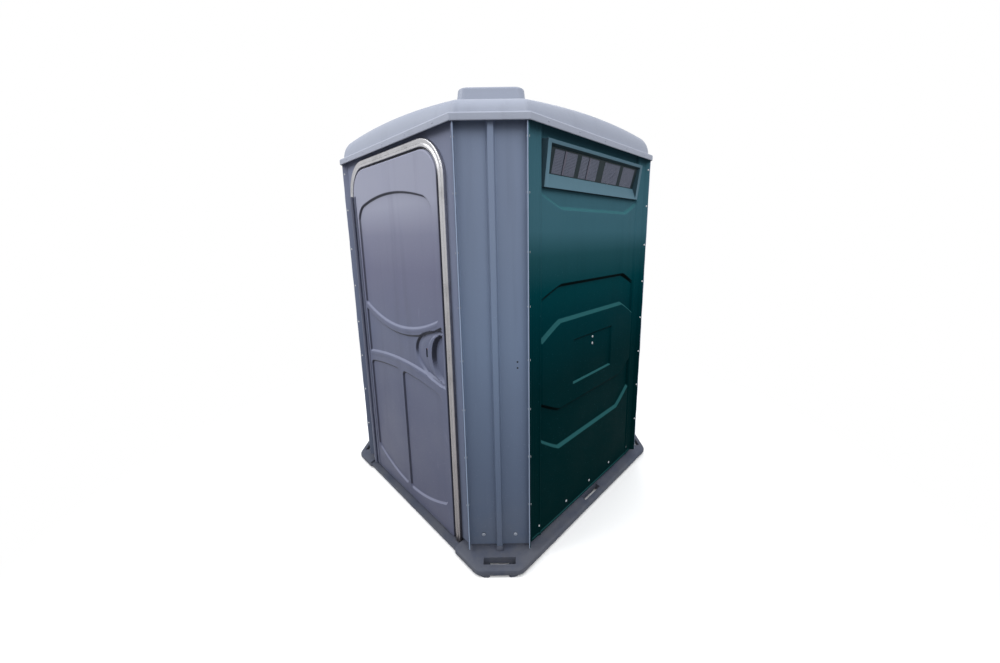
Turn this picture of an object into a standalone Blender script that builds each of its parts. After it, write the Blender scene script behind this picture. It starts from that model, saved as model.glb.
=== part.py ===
"""Accessible portable toilet: a square cabin with cut corners, built from moulded sheets.

Metres, +Z up.  The origin is on the ground at the middle of the base.  The doorway
looks along -Y, and the four sides are numbered in quarter turns from the +X side.
"""

import math

import bmesh
import bpy
from mathutils import Matrix, Vector

# Driving sizes of the cabin
HALF_WIDTH = 0.735            # outer face of the walls from the middle
CORNER_CUT = 0.207            # how much of each wall the cut corner takes
SHEET = 0.004                 # moulded wall sheet
FIT_GAP = 0.0003              # between faces that touch
WALL_FOOT = 0.062             # lower edge of the wall sheets
LEDGE_HEIGHT = 2.002          # top of the roof's flat ledge
SEAM_REACH = 0.032            # standing seam beyond the corner of the plan
OPENING_FROM_CUT = 0.088      # from a wall's end to the doorway and to the vents
OPENING_HALF = HALF_WIDTH - CORNER_CUT - OPENING_FROM_CUT
OVERRUN = 0.020               # how far a cutter runs past what it cuts

# Base
BASE_OVERHANG = 0.055         # rim of the base beyond the walls
BASE_HALF = HALF_WIDTH + BASE_OVERHANG
PAD_DEPTH = 0.122             # corner pad beyond the corner panel
BASE_UNDERSIDE = 0.012
RIM_HEIGHT = 0.043
RIM_BEVEL = 0.003
RIM_ROUND = 0.014             # rounded crest of the rim
PAD_RADIUS = 0.050            # plan radius where a side turns into a pad
CURB_RADIUS = 0.012
CREST_STEPS = 3
DECK_HEIGHT = 0.047           # deck where it meets the wall
FLOOR_HEIGHT = 0.0305
CURB_HEIGHT = 0.150
CURB_WIDTH = 0.014
CURB_DRAFT = 0.006
THRESHOLD_SETBACK = 0.010
THRESHOLD_SIDE = 0.030
THRESHOLD_HALF = OPENING_HALF + THRESHOLD_SIDE
THRESHOLD_MARGIN = 0.002
SLOT_LENGTH = 0.150
SLOT_WIDTH = 0.034
SLOT_FROM_PANEL = 0.076       # slot's middle from the corner panel
NOTCH_LENGTH = 0.155
NOTCH_WIDTH = 0.030
FOOT_DEPTH = 0.070            # feet stand under the ends of each pad's edge
FOOT_SPAN = (0.045, 0.092)
FOOT_INSET = 0.003
FOOT_RADIUS = 0.024
FOOT_SMALL_RADIUS = 0.006
RUNNER_END = 0.095            # from a wall's face to a runner's end
RUNNER_HALF_LENGTH = HALF_WIDTH - RUNNER_END
RUNNER_WIDTH = 0.070
RUNNER_OFFSET = 0.330
SINK = 0.004                  # how far joined solids reach into each other

# Moulded relief of the wall panels, as shares of the field's half width and of the height under the vent
FIELD_SINK = 0.010
FIELD_DRAFT = 0.008
FIELD_BORDER = 0.0813
FIELD_UNDER_VENT = 0.002      # the highest band ends this far below the vent frame
BEAD_SPAN_SHARES = (0.010, 0.985)
BEAD_FROM_EDGE = 0.0713       # upright bead's middle from the panel's edge
BEAD_WIDTH = 0.018
BEAD_RISE = 0.0035
BEAD_DRAFT = 0.004
NOTCH_SHARE = 0.680           # where the slanted ends of each form begin
SPOOL_SHARES = (0.7149, 0.7508, 0.9492, 0.9838)
OCTAGON_SHARES = (0.4202, 0.3753, 0.6366, 0.5905)
LOWER_SHARES = (0.2977, 0.2397)
PLATEAU_INSET = 0.003         # the spool's flat middle from its upper and lower edge
PLATEAU_RISE = 0.003
PLATEAU_DRAFT = 0.008
PLATE_SHARES = (0.4297, 0.5732)
PLATE_HALF_SHARE = 0.437
PLATE_SINK = 0.006
PLATE_DRAFT = 0.005
RELIEF_RADIUS = 0.010
RELIEF_STEPS = 2

# Vents, one high on each wall panel
VENT_HALF = HALF_WIDTH - CORNER_CUT - OPENING_FROM_CUT
VENT_UNDER_LEDGE = 0.070
VENT_HEIGHT = 0.197
VENT_TOP = LEDGE_HEIGHT - VENT_UNDER_LEDGE
VENT_FOOT = VENT_TOP - VENT_HEIGHT
VENT_HOLE_INSET = 0.0347
VENT_HOLE_HALF = VENT_HALF - VENT_HOLE_INSET
VENT_HOLE_RISE = 0.022
VENT_HOLE_DROP = 0.0197
VENT_HOLE_FOOT = VENT_FOOT + VENT_HOLE_RISE
VENT_HOLE_TOP = VENT_TOP - VENT_HOLE_DROP
VENT_PROUD = 0.028            # the leaning frame's top edge from the wall
VENT_LIP = 0.0045
VENT_RIM_INSET = 0.003
VENT_CAP = 0.018
VENT_SILL = 0.008
PANE_INSET = 0.040
PANE_HALF = VENT_HALF - PANE_INSET
PANE_RISE = 0.065
PANE_DROP = 0.027
PANE_FOOT = VENT_FOOT + PANE_RISE
PANE_TOP = VENT_TOP - PANE_DROP
PANE_DEEP = 0.013             # the panes lean: this deep at the foot, this proud at the top
VENT_BACK = 0.0035
VENT_DEPTH = 0.0185            # the frame's back edge inside the wall, behind the panes' feet
VENT_WALL = 0.0022             # thickness of the frame where it goes back through the hole
SCREEN_THICKNESS = 0.0025
SCREEN_CLEARANCE = 0.0006
PANE_SHARES = ((-0.9225, -0.725), (-0.7, -0.4925), (-0.405, -0.2325), (-0.2075, -0.05),
               (0.105, 0.485), (0.58, 0.8875))
SCREEN_ROWS = 4
SCREEN_BAR = 0.006
SCREEN_MARGIN = 0.010

# Corner panels
RIB_BASE = 0.034
RIB_TOP = 0.024
RIB_RISE = 0.022

# Doorway and door
DOOR_MIDDLE = -0.005
OPENING_UNDER_LEDGE = 0.077
OPENING_TOP = LEDGE_HEIGHT - OPENING_UNDER_LEDGE
OPENING_RADIUS = 0.147
ARC_STEPS = 7
TRIM_WIDTH = 0.035
TRIM_PROUD = 0.017
TRIM_WALL = 0.003
TRIM_ROUND = 0.004
STOP_REACH = 0.022
DOOR_GAP = 0.009
LEAF_THICKNESS = 0.0395
LEAF_FOOT = 0.036
LEAF_FOOT_RADIUS = 0.012
SKIN = 0.003
SKIN_EDGE = 0.003
RIM_DEPTH = 0.0190
DOOR_RECESS = 0.009
DOOR_DRAFT = 0.009
INNER_RECESS = 0.004
DOOR_CURVE_STEPS = 6
DOOR_SIDE_SHARE = 0.893
DOOR_DIVIDER = 0.026
DOOR_DIVIDER_SHIFT = -0.006
ARCH_SHARES = (0.8865, 0.9196)        # at the sides, in the middle
SMILE_RISES = (0.1814, 0.0921)        # over the latch
BAND_TOP_RISES = (0.1513, 0.0622)
BAND_FOOT_RISES = (-0.1292, -0.0941)
LOWER_TOP_RISES = (-0.1843, -0.1491)
LOWER_FOOT_SHARES = (0.0874, 0.0341)

# Pull recess in the door and the privacy latch
BAND_LATCH_EDGE = 0.019
LATCH_HEIGHT = 0.9755
CRESCENT_WIDTH_SHARE = 0.5267  # of the leaf's half width
CRESCENT_HALF_HEIGHT = 0.124
CRESCENT_EDGE = 0.010
CRESCENT_SINK = 0.005
CRESCENT_DRAFT = 0.005
POCKET_WIDTH_SHARE = 0.29956   # of the crescent's width
POCKET_HALF_HEIGHT = 0.106
POCKET_EDGE = 0.008
POCKET_SINK = 0.016
POCKET_DRAFT = 0.008
WINDOW_SHARE = 0.4153         # indicator window's middle from the leaf's edge, of the half width
WINDOW_WIDTH = 0.012
WINDOW_HEIGHT = 0.047
SPINDLE_SHARE = 0.38051
SPINDLE_RADIUS = 0.006
SPINDLE_CLEARANCE = 0.0008
DISC_SHARE = 0.08817          # indicator disc's radius, of the leaf's half width
DISC_THICKNESS = 0.002
TONGUE_WIDTH = 0.024
TONGUE_THICKNESS = 0.005
TONGUE_TAIL = 0.022
TONGUE_OVERLAP = 0.028        # past the doorway's edge when locked
TONGUE_CLEAR = 0.0004
TONGUE_NOSE_SHARE = 0.9
KNOB_RADIUS = 0.026
KNOB_THICKNESS = 0.014
GRIP_LENGTH = 0.086
GRIP_WIDTH = 0.014
GRIP_DEPTH = 0.022
PLATE_RADIUS = 0.034
PLATE_THICKNESS = 0.0022
KEEPER_HEIGHT = 0.050
KEEPER_WALL = 0.003
KEEPER_FOOT = 0.034
KEEPER_FROM_OPENING = 0.044
KEEPER_DEPTH = 0.0330
KEEPER_HOOK = 0.036

# Hinge, a continuous one of long knuckles
HINGE_RADIUS = 0.0085
HINGE_PIN_RADIUS = 0.0040
HINGE_BORE_CLEARANCE = 0.0004
HINGE_STAND = 0.0015          # knuckle clear of the faces behind it
HINGE_PLATE = 0.0025
HINGE_PLATE_WIDTH = 0.024
HINGE_KNUCKLES = 5
HINGE_END = 0.020
HINGE_END_PLAY = 0.0012
HINGE_CLEAR = 0.0016
ROUND_SIDES = 12

# Inner pull on the door
PULL_RADIUS = 0.008
PULL_HALF_LENGTH = 0.105
PULL_STAND = 0.042
PULL_HEIGHT = 1.230
PULL_FROM_EDGE = 0.036
PULL_BEND = 0.022
PULL_FOOT_RADIUS = 0.016
PULL_FOOT_THICKNESS = 0.004

# Roof
BRIM_OVERHANG = 0.034         # the brim beyond the walls
BRIM_HALF = HALF_WIDTH + BRIM_OVERHANG
BRIM_CUT = 0.219
BRIM_DEPTH = 0.032
BRIM_FOOT = LEDGE_HEIGHT - BRIM_DEPTH
BRIM_BEVEL = 0.006
SHOULDER_SETBACK = 0.024      # the dome's foot from the brim's edge
SHOULDER_CORNER_SETBACK = 0.0207
ROOF_SHEET = 0.004
SHOULDER_RISE = 0.122         # at the middle of each side
SHOULDER_LEAN = 0.0195        # the shoulder climbs from the hood's corners to the other two
SHOULDER_FALL = 0.0295        # and falls off towards both ends of a side
CROWN_BASE = 0.085
CROWN_RISE = 0.106
SHOULDER_SHARE = 0.105        # share of the half width that the shoulder takes
SHOULDER_STEPS = (0.0, 0.12, 0.35, 0.65, 1.0)
CROWN_SHARES = (0.66, 0.42, 0.18)
SIDE_STEPS = 6
CUT_STEPS = 2
HOOD_LENGTH_SHARE = 0.4934    # of the dome's reach along the diagonal
HOOD_HALF_WIDTH = 0.204
HOOD_SHIFT = -0.014           # the hood sits a little to one side of the diagonal
HOOD_RISE = 0.284             # above the ledge
HOOD_TOP = LEDGE_HEIGHT + HOOD_RISE
HOOD_TAPER = 0.036
HOOD_ROUND = 0.014
HOOD_CORNER = 0.040
HOOD_ROOT_RISE = 0.118
HOOD_ROOT = LEDGE_HEIGHT + HOOD_ROOT_RISE
HOOD_STEPS = 3

# Tank and seat, in the back corner on the side of the hinge
TANK_MIDDLE_FROM_WALL = 0.465
TANK_MIDDLE_X = TANK_MIDDLE_FROM_WALL - HALF_WIDTH
TANK_LEFT_GAP = 0.024
TANK_LENGTH = 0.845           # from the side wall's face
TANK_RIGHT = TANK_LENGTH - HALF_WIDTH
TANK_DEPTH = 0.645            # from the back wall's face
TANK_FRONT = HALF_WIDTH - TANK_DEPTH
TANK_BACK_GAP = 0.024
TANK_CORNER_GAP = 0.028
TANK_HEIGHT = 0.430
TANK_TOE = 0.070
TANK_TOE_HEIGHT = 0.120
TANK_ROUND = 0.020
TANK_WALL = 0.006
TANK_RADIUS = 0.060
TANK_RADIUS_STEPS = 3
BOWL_HALF_WIDTH = 0.125
BOWL_HALF_LENGTH = 0.160
BOWL_FROM_BACK = 0.400
BOWL_MIDDLE_Y = HALF_WIDTH - BOWL_FROM_BACK
BOWL_SIDES = 24
SEAT_HALF_WIDTH = 0.185
SEAT_HALF_LENGTH = 0.225
SEAT_HOLE_HALF_WIDTH = 0.110
SEAT_HOLE_HALF_LENGTH = 0.150
SEAT_THICKNESS = 0.024
SEAT_EDGE = 0.007
SEAT_OPEN_WIDTH = 0.100
SEAT_SIDES = 32
BUMPER_HEIGHT = 0.006
BUMPER_RADIUS = 0.010
SEAT_HINGE_FROM_BACK = 0.150
SEAT_HINGE_Y = HALF_WIDTH - SEAT_HINGE_FROM_BACK
SEAT_HINGE_RISE = 0.020
SEAT_HINGE_RADIUS = 0.011
SEAT_PIN_RADIUS = 0.005
SEAT_EAR_WIDTH = 0.022
SEAT_EAR_OFFSET = 0.060
SEAT_POST_WIDTH = 0.020
SEAT_POST_GAP = 0.0015
SEAT_POST_BASE = 0.030
SEAT_EAR_THICKNESS = 0.014
SEAT_EAR_SHARE = 0.80
SEAT_GAP_SHARE = 0.55

# Vent pipe
PIPE_RADIUS = 0.040
PIPE_WALL = 0.003
PIPE_FROM_PANEL = 0.1531      # pipe's axis from the corner panel's face
PIPE_RISE = 0.188             # above the ledge
PIPE_TOP = LEDGE_HEIGHT + PIPE_RISE
PIPE_SIDES = 20
PIPE_HOLE_CLEARANCE = 0.0008
PIPE_BOSS_RADIUS = 0.056
PIPE_BOSS_RISE = 0.133
PIPE_BOSS_ROOT_RISE = 0.048
PIPE_BOSS_TOP = LEDGE_HEIGHT + PIPE_BOSS_RISE
PIPE_BOSS_ROOT = LEDGE_HEIGHT + PIPE_BOSS_ROOT_RISE
CLAMP_HEIGHT = 1.300
CLAMP_THICKNESS = 0.030
CLAMP_WALL = 0.004
CLAMP_FOOT_HALF = 0.045
CLAMP_ARM = 0.012

# Grab bars on the side wall and the back wall
BAR_RADIUS = 0.0175
BAR_HEIGHT = 0.860
BAR_STAND = 0.0625
BAR_BEND = 0.040
BAR_FROM_CUT = 0.044          # from a wall's end to the bar's end
BAR_HALF_LENGTH = HALF_WIDTH - CORNER_CUT - BAR_FROM_CUT
BAR_SIDES = 12
BAR_BEND_STEPS = 4
FLANGE_RADIUS = 0.034
FLANGE_THICKNESS = 0.005

# Paper holder on the side wall, in front of the tank
HOLDER_FROM_TANK = 0.145
HOLDER_MIDDLE_Y = TANK_FRONT - HOLDER_FROM_TANK
HOLDER_SHARE = 0.30484        # of the height under the vent
HOLDER_HALF_LENGTH = 0.128
HOLDER_HALF_HEIGHT = 0.046
HOLDER_PLATE = 0.003
HOLDER_ARM = 0.004
HOLDER_REACH = 0.092
HOLDER_STAND = 0.068
HOLDER_ARM_SHARE = 0.6
ROLLER_RADIUS = 0.018
ROLL_BORE_RADIUS = 0.0188
ROLL_RADIUS = 0.054
ROLL_LENGTH = 0.106
ROLL_GAP = 0.004
ROLL_SIDES = 20
ROLL_EDGE = 0.003

# Coat hook behind the two rivets of the side wall's plate
HOOK_SHARE = 0.54662          # of the height under the vent
HOOK_PLATE_HALF = 0.018
HOOK_PLATE_HALF_HEIGHT = 0.032
HOOK_PLATE = 0.003
HOOK_RADIUS = 0.005
HOOK_REACH = 0.034
HOOK_RISE = 0.026

# Screws at the feet of the corner panels
SCREW_RADIUS = 0.0090
SCREW_HEIGHT = 0.0036
SCREW_SIDES = 12
SCREW_CROWN_SHARE = 0.55
SCREW_ABOVE_GROUND = 0.116
SCREW_SPREAD = 0.077

ROOT2 = math.sqrt(2.0)
SMOOTH_ANGLE = math.radians(38.0)
RIGHT, BACK, LEFT, FRONT = range(4)

PANEL_COLOUR = (0.020, 0.105, 0.110, 1.0)
CABIN_COLOUR = (0.170, 0.190, 0.250, 1.0)
DOOR_COLOUR = (0.200, 0.205, 0.255, 1.0)
ROOF_COLOUR = (0.380, 0.400, 0.500, 1.0)
BASE_COLOUR = (0.110, 0.120, 0.160, 1.0)
SCREEN_COLOUR = (0.400, 0.380, 0.390, 1.0)
TRIM_COLOUR = (0.780, 0.780, 0.770, 1.0)
STEEL_COLOUR = (0.620, 0.630, 0.640, 1.0)
TANK_COLOUR = (0.180, 0.190, 0.210, 1.0)
SEAT_COLOUR = (0.030, 0.030, 0.033, 1.0)
PIPE_COLOUR = (0.450, 0.460, 0.470, 1.0)
PAPER_COLOUR = (0.850, 0.840, 0.810, 1.0)
SIGN_COLOUR = (0.050, 0.300, 0.120, 1.0)


# Scene, materials and objects

def clear_scene():
    """Remove whatever the file holds, so that only this part is left."""
    for item in list(bpy.data.objects):
        bpy.data.objects.remove(item, do_unlink=True)


def finish(name, colour, roughness, metallic=0.0):
    """One plain material per object."""
    made = bpy.data.materials.new(name + "_finish")
    made.use_nodes = True
    shader = made.node_tree.nodes["Principled BSDF"]
    shader.inputs["Base Color"].default_value = colour
    shader.inputs["Roughness"].default_value = roughness
    shader.inputs["Metallic"].default_value = metallic
    made.diffuse_color = colour
    return made


def put(name, form, colour=CABIN_COLOUR, roughness=0.55, metallic=0.0, frame=None, smooth=False):
    """Turn a bmesh into a named object standing in its frame."""
    bmesh.ops.recalc_face_normals(form, faces=form.faces[:])
    mesh = bpy.data.meshes.new(name)
    form.to_mesh(mesh)
    form.free()
    if smooth:
        mesh.shade_smooth()
        mesh.set_sharp_from_angle(angle=SMOOTH_ANGLE)
    made = bpy.data.objects.new(name, mesh)
    bpy.context.scene.collection.objects.link(made)
    made.matrix_world = frame if frame is not None else Matrix.Identity(4)
    made.data.materials.append(finish(name, colour, roughness, metallic))
    return made


def repeat(name, source, frame, colour, roughness=0.55, metallic=0.0):
    """Another object with the same mesh and modifiers in another frame."""
    made = source.copy()
    made.name = name
    made.matrix_world = frame
    made.material_slots[0].link = 'OBJECT'
    made.material_slots[0].material = finish(name, colour, roughness, metallic)
    bpy.context.scene.collection.objects.link(made)
    return made


def crosswise_frame():
    """u along +Y, v up, w along +X, for profiles that run across the cabin."""
    return Matrix(((0, 0, 1, 0), (1, 0, 0, 0), (0, 1, 0, 0), (0, 0, 0, 1)))


def tool(name, form, frame=None):
    """A hidden body that a Boolean modifier uses."""
    made = put(name, form, frame=frame)
    made.hide_render = True
    made.display_type = 'WIRE'
    return made


def combine(body, other, operation):
    """Join or cut a body with a hidden one."""
    step = body.modifiers.new(other.name, 'BOOLEAN')
    step.operation = operation
    step.solver = 'EXACT'
    step.object = other


def thicken(body, thickness):
    """Give a sheet its wall, on the side away from its normals."""
    step = body.modifiers.new("wall", 'SOLIDIFY')
    step.thickness = thickness
    step.offset = -1.0
    step.use_even_offset = True
    step.use_quality_normals = True


def pivot(name, place):
    """An empty on a joint's axis, which carries the moving pieces."""
    made = bpy.data.objects.new(name, None)
    made.matrix_world = Matrix.Translation(place)
    bpy.context.scene.collection.objects.link(made)
    return made


def hang(pieces, axis):
    """Parent pieces to the empty on their axis without moving them."""
    for piece in pieces:
        piece.parent = axis
        piece.matrix_parent_inverse = Matrix.Translation(-axis.matrix_world.translation)


def side_frame(quarter, shift=Vector()):
    """u along the side, v up, w out of the side, for one of the four walls."""
    turn = Matrix.Rotation(quarter * math.pi / 2, 4, 'Z')
    return turn @ crosswise_frame() @ Matrix.Translation(shift)


def corner_frame(quarter):
    """u along a cut corner, v up, w outwards; quarter 0 is between +X and +Y."""
    return Matrix.Rotation(math.pi / 4, 4, 'Z') @ side_frame(quarter)


# Outlines

def chamfered_square(half, reach):
    """Eight points: a square of a half width whose corners are cut at a reach."""
    run = reach * ROOT2 - half
    points = []
    for quarter in range(4):
        turn = Matrix.Rotation(quarter * math.pi / 2, 2)
        points += [turn @ Vector((half, -run)), turn @ Vector((half, run))]
    return points


def fillet(points, radius, steps):
    """Round each corner of a closed outline with a short arc."""
    rounded = []
    radii = radius if isinstance(radius, (list, tuple)) else [radius] * len(points)
    for index, corner in enumerate(points):
        before = (points[index - 1] - corner).normalized()
        after = (points[(index + 1) % len(points)] - corner).normalized()
        half_angle = before.angle(after) / 2
        setback = radii[index] / math.tan(half_angle)
        centre = corner + (before + after).normalized() * (radii[index] / math.sin(half_angle))
        start = corner + before * setback - centre
        sweep = start.angle_signed(corner + after * setback - centre)
        for step in range(steps + 1):
            turn = Matrix.Rotation(-sweep * step / steps, 2)
            rounded.append(centre + turn @ start)
    return rounded


def inset(points, distance):
    """The outline moved inwards by a distance, corner for corner."""
    moved = []
    for index, corner in enumerate(points):
        before = (corner - points[index - 1]).normalized()
        after = (points[(index + 1) % len(points)] - corner).normalized()
        inward = Vector((-before.y, before.x)), Vector((-after.y, after.x))
        bisector = (inward[0] + inward[1]).normalized()
        moved.append(corner + bisector * distance / max(bisector.dot(inward[0]), 0.3))
    return moved


def ellipse(half_x, half_y, sides, centre=Vector((0.0, 0.0)), start=0.0, sweep=2 * math.pi):
    """Points round an ellipse, or along a part of it with both ends."""
    whole = sweep >= 2 * math.pi
    count = sides if whole else sides + 1
    return [centre + Vector((half_x * math.cos(start + sweep * i / sides),
                             half_y * math.sin(start + sweep * i / sides))) for i in range(count)]


def rectangle(left, foot, right, top):
    """Four points, counterclockwise from the lower left."""
    return [Vector((left, foot)), Vector((right, foot)), Vector((right, top)), Vector((left, top))]


# Bodies from outlines

def ring(form, points, height):
    """A loop of vertices at one height."""
    return [form.verts.new((p.x, p.y, height)) for p in points]


def bridge(form, lower, upper, closed=True):
    """Quads between two loops of equal count."""
    count = len(lower)
    for index in range(count if closed else count - 1):
        after = (index + 1) % count
        form.faces.new((lower[index], lower[after], upper[after], upper[index]))


def loop_edges(form, loop):
    """The edges round a loop, made where they are missing."""
    edges = []
    for index, start in enumerate(loop):
        end = loop[(index + 1) % len(loop)]
        edges.append(form.edges.get((start, end)) or form.edges.new((start, end)))
    return edges


def fill(form, loops):
    """A flat face inside the first loop and round the others."""
    edges = [edge for loop in loops for edge in loop_edges(form, loop)]
    bmesh.ops.triangle_fill(form, use_beauty=True, use_dissolve=False, edges=edges)


def prism(outline, low, high, holes=(), form=None):
    """A closed plate between two heights, with holes through it."""
    form = form or bmesh.new()
    loops = [(ring(form, o, low), ring(form, o, high)) for o in [outline, *holes]]
    for lower, upper in loops:
        bridge(form, lower, upper)
    if holes:
        fill(form, [lower for lower, _ in loops])
        fill(form, [upper for _, upper in loops])
    else:
        form.faces.new(loops[0][0])
        form.faces.new(loops[0][1])
    return form


def block(low, high, form=None):
    """A box between two corners."""
    return prism(rectangle(low[0], low[1], high[0], high[1]), low[2], high[2], form=form)


def loft(loops, form=None):
    """A closed body through loops of 3-D points, capped at both ends."""
    form = form or bmesh.new()
    made = [[form.verts.new(p) for p in loop] for loop in loops]
    for lower, upper in zip(made, made[1:]):
        bridge(form, lower, upper)
    form.faces.new(made[0])
    form.faces.new(made[-1])
    return form


def level_loop(points, height):
    """A flat outline lifted to a height."""
    return [Vector((p.x, p.y, height)) for p in points]


def turned_along(path, radius, sides, form=None, bore=None):
    """A round bar or tube along a list of points."""
    form = form or bmesh.new()
    shells = []
    for size in (radius, bore):
        if size is None:
            continue
        rings = []
        for index, point in enumerate(path):
            ahead = (path[min(index + 1, len(path) - 1)] - path[max(index - 1, 0)]).normalized()
            spare = Vector((0, 0, 1)) if abs(ahead.z) < 0.9 else Vector((0, 1, 0))
            across = spare.cross(ahead).normalized()
            up = ahead.cross(across)
            rings.append([form.verts.new(point + across * size * math.cos(2 * math.pi * i / sides)
                                         + up * size * math.sin(2 * math.pi * i / sides))
                          for i in range(sides)])
        for lower, upper in zip(rings, rings[1:]):
            bridge(form, lower, upper)
        shells.append(rings)
    if bore is None:
        form.faces.new(shells[0][0])
        form.faces.new(shells[0][-1])
    else:
        bridge(form, shells[0][0], shells[1][0])
        bridge(form, shells[0][-1], shells[1][-1])
    return form


def bent_path(start, corner, end, radius, steps):
    """From start round a rounded corner towards end, without the end itself."""
    before, after = (start - corner).normalized(), (end - corner).normalized()
    half_angle = before.angle(after) / 2
    setback = radius / math.tan(half_angle)
    centre = corner + (before + after).normalized() * radius / math.sin(half_angle)
    first, last = corner + before * setback - centre, corner + after * setback - centre
    axis = first.cross(last).normalized()
    sweep = first.angle(last)
    return [centre + Matrix.Rotation(sweep * i / steps, 3, axis) @ first for i in range(steps + 1)]


# Moulded sheets with relief

class Region:
    """A raised or sunk part of a sheet: its outline, its rise, its sloping sides, what is in it."""

    def __init__(self, outline, rise=None, draft=0.0, inside=()):
        self.outline = outline
        self.rise = rise
        self.draft = draft
        self.inside = list(inside)


def fill_field(form, loop, level, regions):
    """Fill a flat field round its regions, and each region in turn."""
    loops = [loop]
    for region in regions:
        rim = ring(form, region.outline, level)
        loops.append(rim)
        if region.rise is None:
            continue
        foot = ring(form, inset(region.outline, region.draft), level + region.rise)
        bridge(form, rim, foot)
        fill_field(form, foot, level + region.rise, region.inside)
    if len(loops) == 1 and len(loop) > 2:
        form.faces.new(loop)
    else:
        fill(form, loops)


def face_outwards(form):
    """Turn an open sheet's faces so that their normals agree and point along +w."""
    bmesh.ops.recalc_face_normals(form, faces=form.faces[:])
    if sum(face.normal.z * face.calc_area() for face in form.faces) < 0:
        bmesh.ops.reverse_faces(form, faces=form.faces[:])


def put_sheet(name, form, thickness, frame, colour, roughness=0.55):
    """A named object from an open sheet, thickened inwards."""
    face_outwards(form)
    mesh = bpy.data.meshes.new(name)
    form.to_mesh(mesh)
    form.free()
    made = bpy.data.objects.new(name, mesh)
    bpy.context.scene.collection.objects.link(made)
    made.matrix_world = frame
    made.data.materials.append(finish(name, colour, roughness))
    thicken(made, thickness)
    return made


def standing_seams(form, loop, left, right, reach):
    """Strips that stand out from a sheet's two upright edges, along the corner's bisector."""
    for edge_u, sign in ((left, -1), (right, 1)):
        ends = [v for v in loop if abs(v.co.x - edge_u) < FIT_GAP]
        ends.sort(key=lambda v: v.co.y)
        tips = [form.verts.new(v.co + Vector((sign * reach / ROOT2, 0, reach / ROOT2))) for v in ends]
        for index in range(len(ends) - 1):
            form.faces.new((ends[index], ends[index + 1], tips[index + 1], tips[index]))


# Places that several pieces share

def corner_reach():
    """Outer face of a corner panel from the middle, along the diagonal."""
    return (2 * HALF_WIDTH - CORNER_CUT) / ROOT2


def panel_half():
    """Half width of a wall sheet, its seam's thickness left free."""
    return HALF_WIDTH - CORNER_CUT - SHEET * ROOT2


def wall_top():
    """Upper edge of the wall sheets, just under the roof's ledge."""
    return LEDGE_HEIGHT - ROOF_SHEET - FIT_GAP


def wall_height(share):
    """A height on the wall sheets."""
    return WALL_FOOT + share * (wall_top() - WALL_FOOT)


def relief_height(share):
    """A height on the wall sheets under the vent."""
    return WALL_FOOT + share * (VENT_FOOT - WALL_FOOT)


def field_half():
    """Half width of the sunk field in a wall panel."""
    return panel_half() - FIELD_BORDER


def leaf_top():
    """Upper edge of the door leaf."""
    return OPENING_TOP - DOOR_GAP


def leaf_height(share):
    """A height on the door leaf."""
    return LEAF_FOOT + share * (leaf_top() - LEAF_FOOT)


def leaf_half():
    """Half width of the door leaf."""
    return OPENING_HALF - DOOR_GAP


def leaf_face():
    """Distance of the leaf's outer face from the middle of the cabin."""
    return HALF_WIDTH + TRIM_PROUD


def leaf_back():
    """Distance of the leaf's inner face from the middle of the cabin."""
    return leaf_face() - LEAF_THICKNESS


def stop_face():
    """Face of the door stop that the leaf closes on."""
    return leaf_back() - FIT_GAP


def stop_back():
    """Inner face of the door stop."""
    return stop_face() - TRIM_WALL


def crescent_width():
    """Width of the crescent round the pull."""
    return leaf_half() * CRESCENT_WIDTH_SHARE


def disc_radius():
    """Radius of the indicator disc."""
    return leaf_half() * DISC_SHARE


def spindle_u():
    """Latch spindle across the leaf, from the leaf's middle."""
    return leaf_half() * (1 - SPINDLE_SHARE)


def hinge_axis_x():
    """Hinge axis, over the gap between the leaf and the trim."""
    return DOOR_MIDDLE - OPENING_HALF + DOOR_GAP / 2


def hinge_axis_y():
    """Hinge axis, in front of the leaf's face."""
    return -(leaf_face() + HINGE_STAND + HINGE_RADIUS)


def pipe_reach():
    """Distance of the vent pipe's axis from the middle, along the diagonal."""
    return corner_reach() - PIPE_FROM_PANEL


def pipe_place():
    """Axis of the vent pipe in plan."""
    return Vector((-pipe_reach() / ROOT2, pipe_reach() / ROOT2, 0.0))


def shoulder_half():
    """The dome's foot at the sides."""
    return BRIM_HALF - SHOULDER_SETBACK


def shoulder_reach():
    """The dome's foot at the cut corners, along the diagonal."""
    return (2 * BRIM_HALF - BRIM_CUT) / ROOT2 - SHOULDER_CORNER_SETBACK


def seat_hinge_height():
    """Axis of the seat's hinge above the ground."""
    return TANK_HEIGHT + SEAT_HINGE_RISE


# Base

def base_loop(half, reach, height, radius=PAD_RADIUS):
    """One rounded loop of the base."""
    return level_loop(fillet(chamfered_square(half, reach), radius, 3), height)


def crest_loops(pad):
    """Loops of the rim's rounded crest, from its face to its top."""
    loops = []
    for step in range(CREST_STEPS + 1):
        angle = math.pi / 2 * step / CREST_STEPS
        inward, drop = RIM_ROUND * (1 - math.cos(angle)), RIM_ROUND * (1 - math.sin(angle))
        loops.append(base_loop(BASE_HALF - inward, pad - inward, RIM_HEIGHT - drop))
    return loops


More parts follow.
